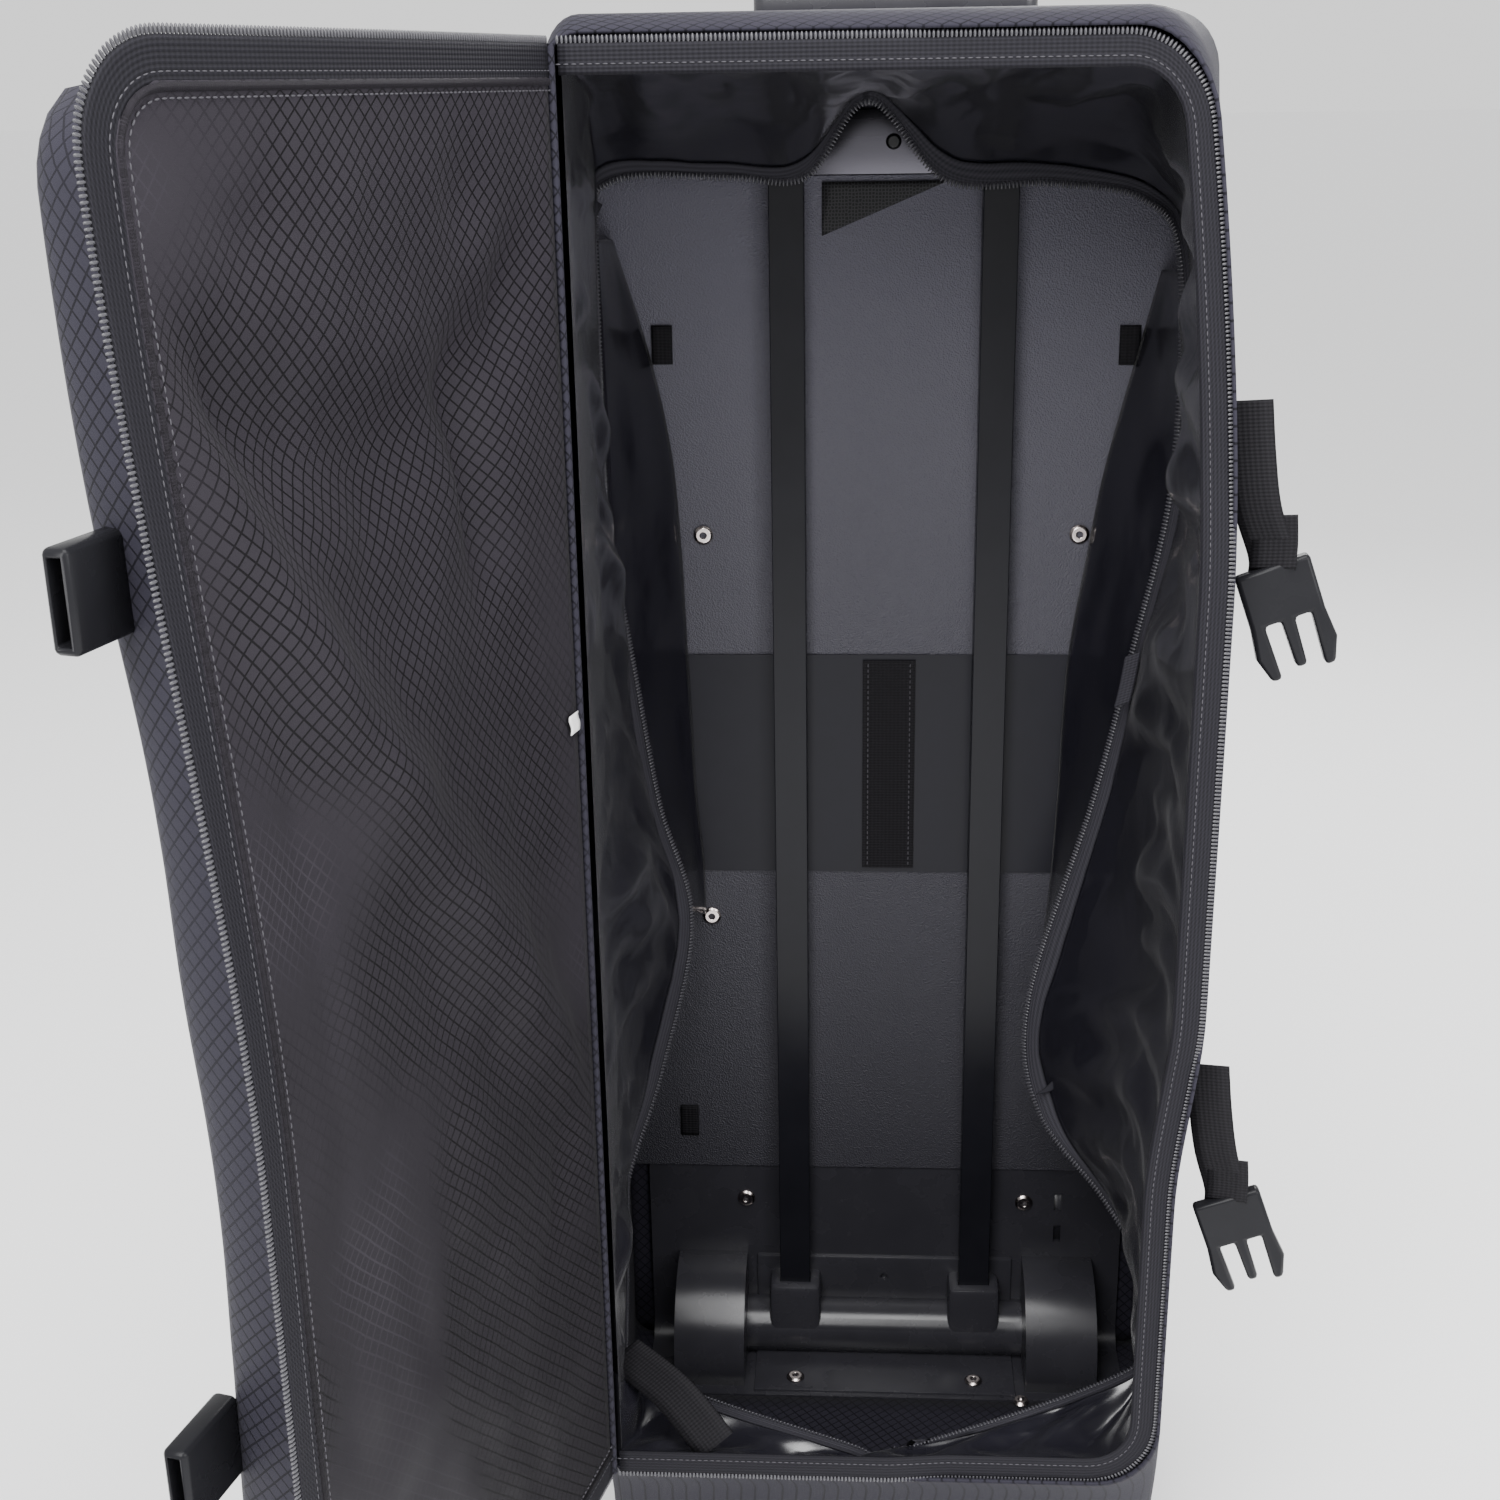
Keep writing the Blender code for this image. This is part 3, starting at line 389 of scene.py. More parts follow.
def shiny_lining(name):
    """Thin shiny nylon with fine creases."""
    made = Nodes(name, tuple(colours().lining), 0.30)
    creases = made.noise(21.0, made.place(), 2.0)
    made.tint(made.noise(6.0, made.place()), tuple(colours().lining), shade(colours().lining, 1.8))
    made.rough(creases, 0.16, 0.28)
    made.bump(creases, 0.0040, 0.42)
    made.shine(0.95, 0.03)
    made.shader.inputs["Sheen Roughness"].default_value = 0.35
    return made.material


def pebbled_board(name):
    """Dark grey plastic board with a moulded pebble grain."""
    made = Nodes(name, (0.05, 0.05, 0.058), 0.5)
    cells = made.add("ShaderNodeTexVoronoi", [("Vector", made.place()), ("Scale", 820.0)]).outputs["Distance"]
    # Painted highlight: the board lightens up to 4.4 times towards its top, standing in for the glancing
    # reflection of light from above.
    made.tint(made.math("POWER", made.height(), 2.2), tuple(colours().board), shade(colours().board, 4.4))
    made.rough(cells, 0.42, 0.58)
    made.bump(cells, 0.0007, 0.8)
    return made.material


def moulded(name, colour, low, high, grain, specular=0.5):
    """Moulded plastic with a faint grain and uneven gloss."""
    made = Nodes(name, colour, low)
    cloud = made.noise(30.0, made.place(), 5.0)
    made.rough(cloud, low, high)
    lighter = tuple(min(1.0, value * 1.5 + 0.002) for value in colour)
    made.tint(cloud, colour, lighter)
    made.bump(made.noise(grain, made.place(), 3.0), 0.0001, 0.35)
    made.shine(specular)
    return made.material


def metal(name, colour, low, high, streak):
    """Metal with fine drawn streaks along its length."""
    made = Nodes(name, colour, low, 1.0)
    stretched = made.add("ShaderNodeMapping", [("Vector", made.place())])
    stretched.inputs["Scale"].default_value = streak
    lines = made.noise(60.0, stretched.outputs[0], 3.0)
    made.rough(lines, low, high)
    made.bump(lines, 0.00006, 0.4)
    return made.material


def webbing(name, colour):
    """Woven strap with ribs across it and darker edges between the yarns."""
    made = Nodes(name, colour, 0.7)
    parts = made.add("ShaderNodeSeparateXYZ", [(0, made.uv())])
    rib = made.math("PINGPONG", made.math("MULTIPLY", parts.outputs[1], 1 / 0.0022), 0.5)
    yarn = made.math("PINGPONG", made.math("MULTIPLY", parts.outputs[0], 1 / 0.0030), 0.5)
    weave = made.math("ADD", rib, made.math("MULTIPLY", yarn, 0.7))
    made.tint(weave, tuple(value * 0.6 for value in colour), tuple(value * 1.9 for value in colour))
    made.bump(weave, 0.0006, 0.8)
    made.shine(0.12)
    return made.material


def rubber(name):
    """Matt tyre rubber, dusty on its tread."""
    made = Nodes(name, (0.02, 0.02, 0.02), 0.85)
    dust = made.noise(22.0, made.place(), 6.0)
    made.tint(dust, (0.014, 0.014, 0.014), (0.045, 0.044, 0.042))
    made.bump(made.noise(260.0, made.place()), 0.0003, 0.6)
    return made.material


def open_mesh(name):
    """Dark netting with small holes."""
    made = Nodes(name, (0.01, 0.01, 0.011), 0.7)
    links = [("Vector", made.place()), ("Scale", 420.0), ("Randomness", 0.35)]
    holes = made.add("ShaderNodeTexVoronoi", links, feature="DISTANCE_TO_EDGE").outputs["Distance"]
    solid = made.math("LESS_THAN", holes, 0.16)
    made.tint(solid, (0.002, 0.002, 0.002), (0.030, 0.029, 0.033))
    made.bump(solid, 0.0006, 0.8)
    return made.material


LOOKS = {}


def make_looks():
    """All finishes, by the record's slots and a few finer ones."""
    cell = sizes().ripstop_cell
    # Outer fabric: the 1.35 times lighter end is painted top light; its darker threads are the cloth's own.
    LOOKS["outer_fabric"] = ripstop("bag_ripstop", tuple(colours().outer), shade(colours().outer, 1.35),
                                    shade(colours().outer, 0.6), cell, 0.56)
    # Lid inside: the 3.8 times lighter end is painted top light, and the 5.2 times lighter threads are painted
    # thread highlights.
    LOOKS["lid_inside"] = ripstop("lid_coated_ripstop", tuple(colours().inside), shade(colours().inside, 3.8),
                                  shade(colours().inside, 5.2), cell, 0.50)
    LOOKS["lining_nylon"] = shiny_lining("lining_nylon_sheen")
    LOOKS["board_plastic"] = pebbled_board("board_pebbled")
    LOOKS["moulded_plastic"] = moulded("moulded_black", (0.021, 0.0205, 0.025), 0.20, 0.34, 420.0)
    LOOKS["hub_plastic"] = moulded("hub_grey", (0.12, 0.12, 0.13), 0.36, 0.5, 420.0)
    LOOKS["black_tube"] = moulded("tube_satin_black", (0.007, 0.007, 0.0095), 0.20, 0.28, 900.0, 0.17)
    LOOKS["bracket"] = metal("bracket_plate", (0.085, 0.082, 0.095), 0.20, 0.34, (0.05, 1, 1))
    LOOKS["screw"] = moulded("screw_dark", (0.004, 0.004, 0.005), 0.4, 0.5, 300.0)
    LOOKS["lining_tape"] = webbing("lining_zipper_woven", (0.026, 0.025, 0.031))
    LOOKS["bright_tube"] = metal("tube_bright", (0.55, 0.55, 0.57), 0.22, 0.4, (1, 1, 0.03))
    LOOKS["nickel"] = metal("rivet_nickel", (0.66, 0.59, 0.57), 0.12, 0.3, (1, 1, 1))
    LOOKS["tyre_rubber"] = rubber("tyre_dusty")
    LOOKS["black_webbing"] = webbing("webbing_black", (0.008, 0.0075, 0.009))
    LOOKS["zipper_tape"] = webbing("zipper_tape_black", (0.011, 0.0105, 0.0135))
    LOOKS["coil"] = moulded("zipper_coil", (0.045, 0.044, 0.050), 0.18, 0.3, 300.0)
    LOOKS["vinyl"] = moulded("band_vinyl", (0.011, 0.0108, 0.0145), 0.30, 0.44, 160.0, 0.16)
    LOOKS["buckle"] = moulded("buckle_black", (0.008, 0.008, 0.0095), 0.20, 0.32, 420.0, 0.12)
    LOOKS["thread"] = moulded("stitch_thread", (0.040, 0.038, 0.045), 0.6, 0.8, 300.0)
    LOOKS["tag"] = moulded("blank_tag", (0.75, 0.74, 0.72), 0.6, 0.75, 400.0)
    LOOKS["mesh"] = open_mesh("hex_mesh")


# Mesh helpers
def link_new(name, data):
    """A new object of the scene."""
    made = bpy.data.objects.new(name, data)
    bpy.context.scene.collection.objects.link(made)
    return made


def evaluated_mesh(made):
    """The mesh that an object's modifiers or curve settings give."""
    bpy.context.view_layer.update()
    return bpy.data.meshes.new_from_object(made.evaluated_get(bpy.context.evaluated_depsgraph_get()))


def poly_line(name, path):
    """A curve object with straight spans through a path."""
    curve = bpy.data.curves.new(name + "_path", "CURVE")
    curve.dimensions = "3D"
    spline = curve.splines.new("POLY")
    spline.points.add(len(path) - 1)
    for place, point in zip(spline.points, path):
        place.co = (*point, 1.0)
    return link_new(name + "_path", curve)


def realise(line, name):
    """The mesh that a line's settings give, smooth shaded, in the line's place."""
    mesh = evaluated_mesh(line)
    mesh.name = name
    bpy.data.objects.remove(line, do_unlink=True)
    for polygon in mesh.polygons:
        polygon.use_smooth = True
    return mesh


def finish_piece(name, shape, look, body, uv=None, smooth=True):
    """Turns a bmesh into a piece that rides on a body, with its flat UV if it has one."""
    mesh = bpy.data.meshes.new(name)
    if uv:
        layer = shape.loops.layers.uv.new("flat")
        for face in shape.faces:
            for loop in face.loops:
                loop[layer].uv = uv[loop.vert]
    bmesh.ops.recalc_face_normals(shape, faces=shape.faces)
    for face in shape.faces:
        face.smooth = smooth
    shape.to_mesh(mesh)
    shape.free()
    mesh.materials.append(LOOKS[look])
    made = link_new(name, mesh)
    if body:
        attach(made, body)
    return made


def apply_modifier(made, kind, **values):
    """Adds a modifier with its values and makes it part of the mesh."""
    step = made.modifiers.new(kind.lower(), kind)
    for key, value in values.items():
        setattr(step, key, value)
    mesh = evaluated_mesh(made)
    made.modifiers.clear()
    made.data = mesh


def grid_piece(name, rows, look, body, thickness=0.0, keep=None, closed=False):
    """A smooth sheet through rows of points, with a flat UV in metres and an optional thickness."""
    shape = bmesh.new()
    verts = [[shape.verts.new(point) for point in row] for row in rows]
    flat = {}
    along = 0.0
    for i, row in enumerate(rows):
        if i:
            along += (rows[i][len(row) // 2] - rows[i - 1][len(row) // 2]).length
        across = 0.0
        for j, point in enumerate(row):
            if j:
                across += (point - row[j - 1]).length
            flat[verts[i][j]] = (across, along)
    width = len(rows[0])
    for i in range(len(rows) - 1):
        for j in range(width if closed else width - 1):
            k = (j + 1) % width
            if keep is None or keep(i, j):
                shape.faces.new((verts[i][j], verts[i][k], verts[i + 1][k], verts[i + 1][j]))
    loose = [vert for vert in shape.verts if not vert.link_faces]
    bmesh.ops.delete(shape, geom=loose, context="VERTS")
    across = max(sum((b - a).length for a, b in zip(row, row[1:] + row[:1] * closed)) for row in rows)
    along = min(sum((b[j] - a[j]).length for a, b in zip(rows, rows[1:])) for j in range(width))
    area = sum(face.calc_area() for face in shape.faces)
    made = finish_piece(name, shape, look, body, flat)
    if thickness:
        apply_modifier(made, "SOLIDIFY", thickness=thickness, offset=0.0, use_even_offset=True)
    return made


def strip_piece(name, path, width_axis, width, thickness, look, body):
    """A flat strap along a path, its width along an axis."""
    axis = Vector(width_axis).normalized()
    columns = 5
    rows = []
    for point in path:
        rows.append([Vector(point) + axis * (width * (j / (columns - 1) - 0.5)) for j in range(columns)])
    return grid_piece(name, rows, look, body, thickness)


def smooth_path(points, count, closed=False):
    """A Catmull-Rom path through the points, evenly counted."""
    points = [Vector(point) for point in points]
    spans = len(points) if closed else len(points) - 1
    path = []
    for i in range(count if closed else count + 1):
        place = i * spans / count
        k = min(int(place), spans - 1)
        t = place - k
        if closed:
            a, b, c, d = (points[(k + n) % len(points)] for n in (-1, 0, 1, 2))
        else:
            a, b = points[max(k - 1, 0)], points[k]
            c, d = points[k + 1], points[min(k + 2, len(points) - 1)]
        path.append(0.5 * (2 * b + (c - a) * t + (2 * a - 5 * b + 4 * c - d) * t * t
                           + (3 * b - a - 3 * c + d) * t ** 3))
    return path


def even_path(points, count, closed=False):
    """The same path with points at even distances."""
    ends = points + [points[0]] if closed else points
    lengths = [0.0]
    for a, b in zip(ends, ends[1:]):
        lengths.append(lengths[-1] + (b - a).length)
    made = []
    k = 0
    for i in range(count):
        target = lengths[-1] * i / (count if closed else count - 1)
        while k < len(ends) - 2 and lengths[k + 1] < target:
            k += 1
        span = max(lengths[k + 1] - lengths[k], 1e-9)
        made.append(ends[k].lerp(ends[k + 1], min(1.0, (target - lengths[k]) / span)))
    return made


# Repeated small pieces, with Geometry Nodes
def repeat_tree():
    """A node group that sets small rounded blocks along a curve: zipper coils and stitches."""
    tree = bpy.data.node_groups.get("repeat_along_curve")
    if tree:
        return tree
    tree = bpy.data.node_groups.new("repeat_along_curve", "GeometryNodeTree")
    for name, kind in (("Geometry", "Geometry"), ("Pitch", "Float"), ("Radius", "Float"), ("Length", "Float"),
                       ("Across", "Bool"), ("Material", "Material")):
        tree.interface.new_socket(name, in_out="INPUT", socket_type=f"NodeSocket{kind}")
    tree.interface.new_socket("Geometry", in_out="OUTPUT", socket_type="NodeSocketGeometry")
    new = tree.nodes.new
    link = tree.links.new
    inside = new("NodeGroupInput")
    outside = new("NodeGroupOutput")
    points = new("GeometryNodeCurveToPoints")
    points.mode = "LENGTH"
    link(inside.outputs["Geometry"], points.inputs["Curve"])
    link(inside.outputs["Pitch"], points.inputs["Length"])
    block = new("GeometryNodeMeshUVSphere")
    block.inputs["Segments"].default_value = 8
    block.inputs["Rings"].default_value = 5
    link(inside.outputs["Radius"], block.inputs["Radius"])
    stretch = new("GeometryNodeTransform")
    ratio = new("ShaderNodeMath")
    ratio.operation = "DIVIDE"
    link(inside.outputs["Length"], ratio.inputs[0])
    link(inside.outputs["Radius"], ratio.inputs[1])
    scale = new("ShaderNodeCombineXYZ")
    scale.inputs[0].default_value = 1.0
    scale.inputs[1].default_value = 1.0
    link(ratio.outputs[0], scale.inputs[2])
    link(block.outputs["Mesh"], stretch.inputs["Geometry"])
    link(scale.outputs[0], stretch.inputs["Scale"])
    turn = new("FunctionNodeRotateRotation")
    turn.rotation_space = "LOCAL"
    quarter = new("GeometryNodeSwitch")
    quarter.input_type = "ROTATION"
    quarter.inputs["True"].default_value = (math.pi / 2, 0, 0)
    link(inside.outputs["Across"], quarter.inputs["Switch"])
    link(points.outputs["Rotation"], turn.inputs["Rotation"])
    link(quarter.outputs["Output"], turn.inputs["Rotate By"])
    copies = new("GeometryNodeInstanceOnPoints")
    link(points.outputs["Points"], copies.inputs["Points"])
    link(stretch.outputs["Geometry"], copies.inputs["Instance"])
    link(turn.outputs["Rotation"], copies.inputs["Rotation"])
    real = new("GeometryNodeRealizeInstances")
    link(copies.outputs["Instances"], real.inputs["Geometry"])
    finish = new("GeometryNodeSetMaterial")
    link(real.outputs["Geometry"], finish.inputs["Geometry"])
    link(inside.outputs["Material"], finish.inputs["Material"])
    link(finish.outputs["Geometry"], outside.inputs["Geometry"])
    return tree


def repeat_along(name, path, pitch, radius, length, look, body, across=False):
    """Small blocks at a pitch along a path, realised as one mesh."""
    line = poly_line(name, path)
    step = line.modifiers.new("repeat", "NODES")
    step.node_group = repeat_tree()
    values = {"Pitch": pitch, "Radius": radius, "Length": length, "Across": across, "Material": LOOKS[look]}
    for item in step.node_group.interface.items_tree:
        if item.item_type == "SOCKET" and item.in_out == "INPUT" and item.name in values:
            step[item.identifier] = values[item.name]
    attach(link_new(name, realise(line, name)), body)


def dress(node, look, body, bevel=0.0):
    """A smooth shaded, edge-rounded stand-in for a rigid CAD node."""
    shape = bmesh.new()
    shape.from_mesh(frame["nodes"][node].data)
    bmesh.ops.remove_doubles(shape, verts=shape.verts, dist=1e-5)
    bmesh.ops.dissolve_limit(shape, angle_limit=math.radians(1), verts=shape.verts, edges=shape.edges)
    for face in shape.faces:
        face.smooth = True
    for edge in shape.edges:
        edge.smooth = edge.is_manifold and edge.calc_face_angle(0) < math.radians(32)
    mesh = bpy.data.meshes.new(node + "_dressed")
    shape.to_mesh(mesh)
    shape.free()
    mesh.materials.clear()
    mesh.materials.append(LOOKS[look])
    made = link_new(node + "_dressed", mesh)
    if bevel:
        apply_modifier(made, "BEVEL", width=bevel, segments=2, limit_method="ANGLE",
                       angle_limit=math.radians(32), harden_normals=False)
    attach(made, body)
    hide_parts(node)
    return made


def slot_of(node):
    """The record's material slot of a node."""
    for entry in frame["record"]["subparts"]:
        if entry["node"] == node:
            return entry["material_slot"]
    raise KeyError(node)


# Bag shell
def wall_half(depth):
    """Half width over the side walls at a depth."""
    return RIM_HALF + WALL + (BOARD_HIGH.x - RIM_HALF) * depth / DEPTH


def floor_height(depth):
    """Height of the bag's bottom at a depth: a slope, then level."""
    base = BASE_LOW.z
    if depth >= SLOPE_DEPTH:
        return base
    share = depth / SLOPE_DEPTH
    return RIM_BOTTOM + (base - RIM_BOTTOM) * (share ** 1.15)


def ring(depth):
    """The shell's outline at a depth, from the top left corner clockwise seen from the front."""
    half, low, high = wall_half(depth), floor_height(depth), RIM_TOP + WALL
    share = min(1.0, depth / SLOPE_DEPTH)
    right = RIM_CORNER + (BACK_CORNER - RIM_CORNER) * share
    bottom = right + (BASE_CORNER - right) * share
    corners = (((-half, high), HINGE_CORNER, 180, 90), ((half, high), right, 90, 0),
               ((half, low), bottom, 0, -90), ((-half, low), min(HINGE_CORNER, bottom + 0.008), -90, -180))
    points = []
    steps = (26, 56, 26, 56)
    for n, ((x, z), radius, start, end) in enumerate(corners):
        cx = x - math.copysign(radius, x)
        cz = z - radius if n < 2 else z + radius
        for i in range(8):
            angle = math.radians(start + (end - start) * i / 7)
            points.append((cx + radius * math.cos(angle), cz + radius * math.sin(angle)))
        (nx, nz), next_radius, _, _ = corners[(n + 1) % 4]
        edge_end = (nx - math.copysign(next_radius, nx), nz) if n in (0, 2) else \
            (nx, nz + next_radius if n == 1 else nz - next_radius)
        last = points[-1]
        for i in range(1, steps[n]):
            share_along = i / steps[n]
            points.append((last[0] + (edge_end[0] - last[0]) * share_along,
                           last[1] + (edge_end[1] - last[1]) * share_along))
    return points


def build_shell():
    """The soft outer body, one lofted shell that bulges between its seams."""
    rows = []
    reach = DEPTH + SHELL_PAST_BOARD - SHELL_START
    depths = [SHELL_START + reach * (i / 40) ** 1.25 for i in range(41)]
    last_floor = max(i for i, depth in enumerate(depths) if depth < CHASSIS_FRONT)
    depths[last_floor] = CHASSIS_FRONT + 0.001
    for depth in depths:
        row = []
        swell = math.sin(math.pi * min(1, max(0, depth / DEPTH))) ** 0.8
        for x, z in ring(depth):
            side = min(1.0, max(0.0, (abs(x) - wall_half(depth) + SIDE_EASE) / SIDE_EASE))
            tall = math.sin(math.pi * min(1, max(0, (z - SIDE_FOOT) / (RIM_TOP - SIDE_FOOT))))
            wrinkle = noise.noise(Vector((x * 3, depth * 9, z * 7)))
            wrinkle += 0.5 * noise.noise(Vector((x * 8, depth * 22, z * 17)))
            push = side * swell * (sizes().side_bulge * tall + SIDE_WRINKLE * wrinkle)
            over = max(0.0, 1 - depth / CROWN_DEPTH) * max(0.0, (z - RIM_TOP + CROWN_EDGE) / CROWN_EDGE)
            over *= min(1.0, depth / CROWN_START)
            rise = sizes().top_crown * over ** 0.7
            slack = drawn_in(z) * max(0.0, x / wall_half(depth)) * max(0.0, 1 - depth / DEPTH)
            row.append(Vector((x + math.copysign(push, x) - slack, RIM_Y + depth, z + rise)))
        rows.append(row)
    bare = set()
    for j, (x, z) in enumerate(ring(DEPTH)):
        if z < BASE_HIGH.z + 0.012 and abs(x) < CHASSIS_HIGH.x - 0.004:
            bare.add(j)

    def keep(i, j):
        return i < last_floor or j not in bare
    shell = grid_piece("bag_shell", rows, "outer_fabric", "bag", HEAVY_CLOTH, keep, closed=True)
    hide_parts("side_wall_left", "side_wall_right", "top_wall", "bottom_wall", "lower_front_panel")
    soft_back()
    close_back()
    depth = DEPTH - BACK_SEAM
    seams = [Vector((x, RIM_Y + depth, z)) for x, z in ring(depth) if z > CHASSIS_HIGH.z]
    start = max(range(len(seams)), key=lambda k: (seams[k] - seams[k - 1]).length)
    piping(even_path(seams[start:] + seams[:start], 240), "back_piping", 0.0032, "outer_fabric", "bag")


def soft_back():
    """The outer back fabric, nearly flat with a faint even slack."""
    low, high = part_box("outer_back")
    rows = []
    for i in range(41):
        row = []
        z = low.z + (high.z - low.z) * i / 40
        drop = min(BACK_CORNER, max(0.0, z - RIM_TOP - WALL + BACK_CORNER))
        half = wall_half(DEPTH) + BACK_LAP - BACK_CORNER + math.sqrt(BACK_CORNER ** 2 - drop ** 2)
        for j in range(25):
            x = half * (j / 12 - 1)
            slack = noise.noise(Vector((x * 9, 3.0, z * 6))) * 0.0012
            row.append(Vector((x, (low.y + high.y) / 2 + slack, z)))
        rows.append(row)
    made = grid_piece("outer_back_fabric", rows, "outer_fabric", "bag", OUTER_CLOTH)
    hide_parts("outer_back")


def close_back():
    """Fabric from the side walls to the chassis at the back, and a dark plate behind the chassis' slots."""
    y = CHASSIS_HIGH.y + OFF_CHASSIS
    for side, name in ((-1, "left"), (1, "right")):
        inner = side * (CHASSIS_HIGH.x - 0.012)
        outer = side * (wall_half(DEPTH) + BACK_LAP)
        rows = []
        for i in range(13):
            z = BASE_LOW.z + (BOARD_LOW.z + 0.004 - BASE_LOW.z) * i / 12
            rows.append([Vector((inner + (outer - inner) * j / 4, y, z)) for j in range(5)])
        panel = grid_piece(f"lower_back_{name}", rows, "outer_fabric", "bag", OUTER_CLOTH)
    left, low = SLOT_PLATE_LOW
    wide, tall = SLOT_PLATE_SIZE
    rows = [[Vector((left + wide * j, y, low + tall * i)) for j in range(2)] for i in range(2)]
    grid_piece("slot_backing", rows, "moulded_plastic", "bag", OUTER_CLOTH)


def piping(path, name, radius, look, body):
    """A round fabric piping along a path, as a mesh tube."""
    line = poly_line(name, path)
    line.data.bevel_depth = radius
    line.data.bevel_resolution = 2
    line.data.use_fill_caps = True
    mesh = realise(line, name)
    mesh.materials.clear()
    mesh.materials.append(LOOKS[look])
    if not mesh.uv_layers:
        mesh.uv_layers.new(name="flat")
    else:
        mesh.uv_layers[0].name = "flat"
    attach(link_new(name, mesh), body)


def free_edges(near, reach, low, high, corner):
    """Even points, across and up, round the free edges from the hinge's top to the hinge's foot."""
    points = [Vector((near, high))]
    for cx, cz, start in ((reach - corner, high - corner, 90), (reach - corner, low + corner, 0)):
        for i in range(9):
            angle = math.radians(start - 90 * i / 8)
            points.append(Vector((cx + corner * math.cos(angle), cz + corner * math.sin(angle))))
    points.append(Vector((near, low)))
    return even_path(points, 240)


def rim_path(inset, y):
    """Round the opening from the hinge's top, clockwise, at an inset from the rim's outline."""
    edges = free_edges(HINGE_GAP - RIM_HALF, RIM_HALF - inset, RIM_BOTTOM + inset, RIM_TOP - inset,
                       RIM_CORNER - inset)
    points = []
    for x, z in edges:
        drawn = drawn_in(z) * max(0.0, x / RIM_HALF)
        points.append(Vector((x - drawn, y + min(0.004, 1.5 * drawn), z)))
    return points


def build_rim():
    """Zipper tape, coil, piping and stitching round the opening."""
    rows = [rim_path(TAPE * i / 6, RIM_Y + TAPE_CLOTH / 2) for i in range(7)]
    tape = grid_piece("rim_tape_cloth", rows, "zipper_tape", "bag", TAPE_CLOTH)
    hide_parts("rim_zipper_tape")
    coil = even_path(rim_path(-COIL_OUT, RIM_Y + 0.0006), 500)
    repeat_along("rim_coil", coil, sizes().coil_pitch, COIL_RADIUS, COIL_HALF, "coil", "bag", across=True)
    piping(even_path(rim_path(-0.0012, RIM_Y + 0.0042), 260), "rim_piping", 0.0026, "outer_fabric", "bag")
    stitches = even_path(rim_path(0.0105, RIM_Y), 400)
    repeat_along("rim_stitches", stitches, sizes().stitch_pitch, STITCH_RADIUS, STITCH_HALF, "thread", "bag")
    dress("hinge_piping", "outer_fabric", "bag")


# Lining
def inside_bag(point):
    """The point, kept inside the walls."""
    depth = max(0.0, point.y - RIM_Y)
    limit = wall_half(depth) - 0.0085
    right = limit - drawn_in(point.z) * max(0.0, 1 - depth / DEPTH)
    x = min(right, max(-limit, point.x))
    z = min(RIM_TOP - 0.006, max(floor_height(depth) + 0.007, point.z))
    return Vector((x, point.y, z))


def rim_outward(point):
    """The direction out of the opening's outline at a point of the rim, eased round its corners."""
    side = point.x / RIM_HALF
    middle = (RIM_TOP + RIM_BOTTOM) / 2
    height = (point.z - middle) / (RIM_TOP - middle)
    across = math.copysign(abs(side) ** 5, side)
    up = math.copysign(abs(height) ** 5, height)
    return Vector((across, 0, up)).normalized()


def build_lining():
    """The slack inner lining, from the rim to the edge of its opened zipper."""
    count = LINING_COUNT
    edge = smooth_path([on_depth(*place) for place in LINING_EYE], 700, closed=True)
    eye = even_path(edge, count, closed=True)
    loop = rim_path(TAPE - 0.002, RIM_Y + 0.003)
    loop.append(Vector((-RIM_HALF + 0.003, RIM_Y + 0.003, RIM_BOTTOM + 0.03)))
    loop.append(Vector((-RIM_HALF + 0.003, RIM_Y + 0.003, RIM_TOP - 0.03)))
    rim = even_path(loop, count, closed=True)
    start = min(range(count), key=lambda k: (rim[k] - Vector((0, rim[k].y, RIM_TOP))).length)
    rim = rim[start:] + rim[:start]
    rows = []
    for i in range(LINING_ROWS + 1):
        share = i / LINING_ROWS
        row = []
        for j in range(count):
            a, c = rim[j], eye[j]
            depth = max(0.02, 0.62 * (c.y - RIM_Y))
            b = Vector((a.x, RIM_Y + depth, a.z))
            limit = wall_half(depth) - 0.014
            outward = rim_outward(a)
            b += outward * 0.016
            b.x = max(-limit, min(limit, b.x))
            b.z = min(RIM_TOP - 0.010, max(floor_height(depth) + 0.012, b.z))
            point = a * (1 - share) ** 2 + b * (2 * share * (1 - share)) + c * share ** 2
            drift = 3.0 * noise.noise(Vector((j * 0.03, share * 2, 0)))
            fold = math.sin(j * 2 * math.pi * LINING_FOLDS / count + drift)
            gather = (1 - share) ** 1.5 * share * 4.0
            turn = 2 * math.pi * j / count
            ring_x, ring_y = math.cos(turn), math.sin(turn)
            slack = noise.noise(Vector((ring_x * 5.5, ring_y * 5.5, share * 2.0)))
            fine = 1 - 2.6 * abs(noise.noise(Vector((ring_x * 15, ring_y * 15, share * 4.0 + 9))))
            middle = min(1.0, share * (1 - share) * 5) * min(1.0, (c - a).length / 0.28)
            amount = 0.0050 * fold * gather + middle * sizes().lining_slack * (1.4 * slack + 0.14 * fine)
            row.append(inside_bag(point - outward * max(-0.006, amount)))
        rows.append(row)
    lining = grid_piece("lining_drape", rows, "lining_nylon", "bag", closed=True)
    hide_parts("lining_left", "lining_right", "lining_top", "lining_bottom")
    build_lining_zipper(eye, rows[LINING_TAPE_ROW])
    build_flaps()


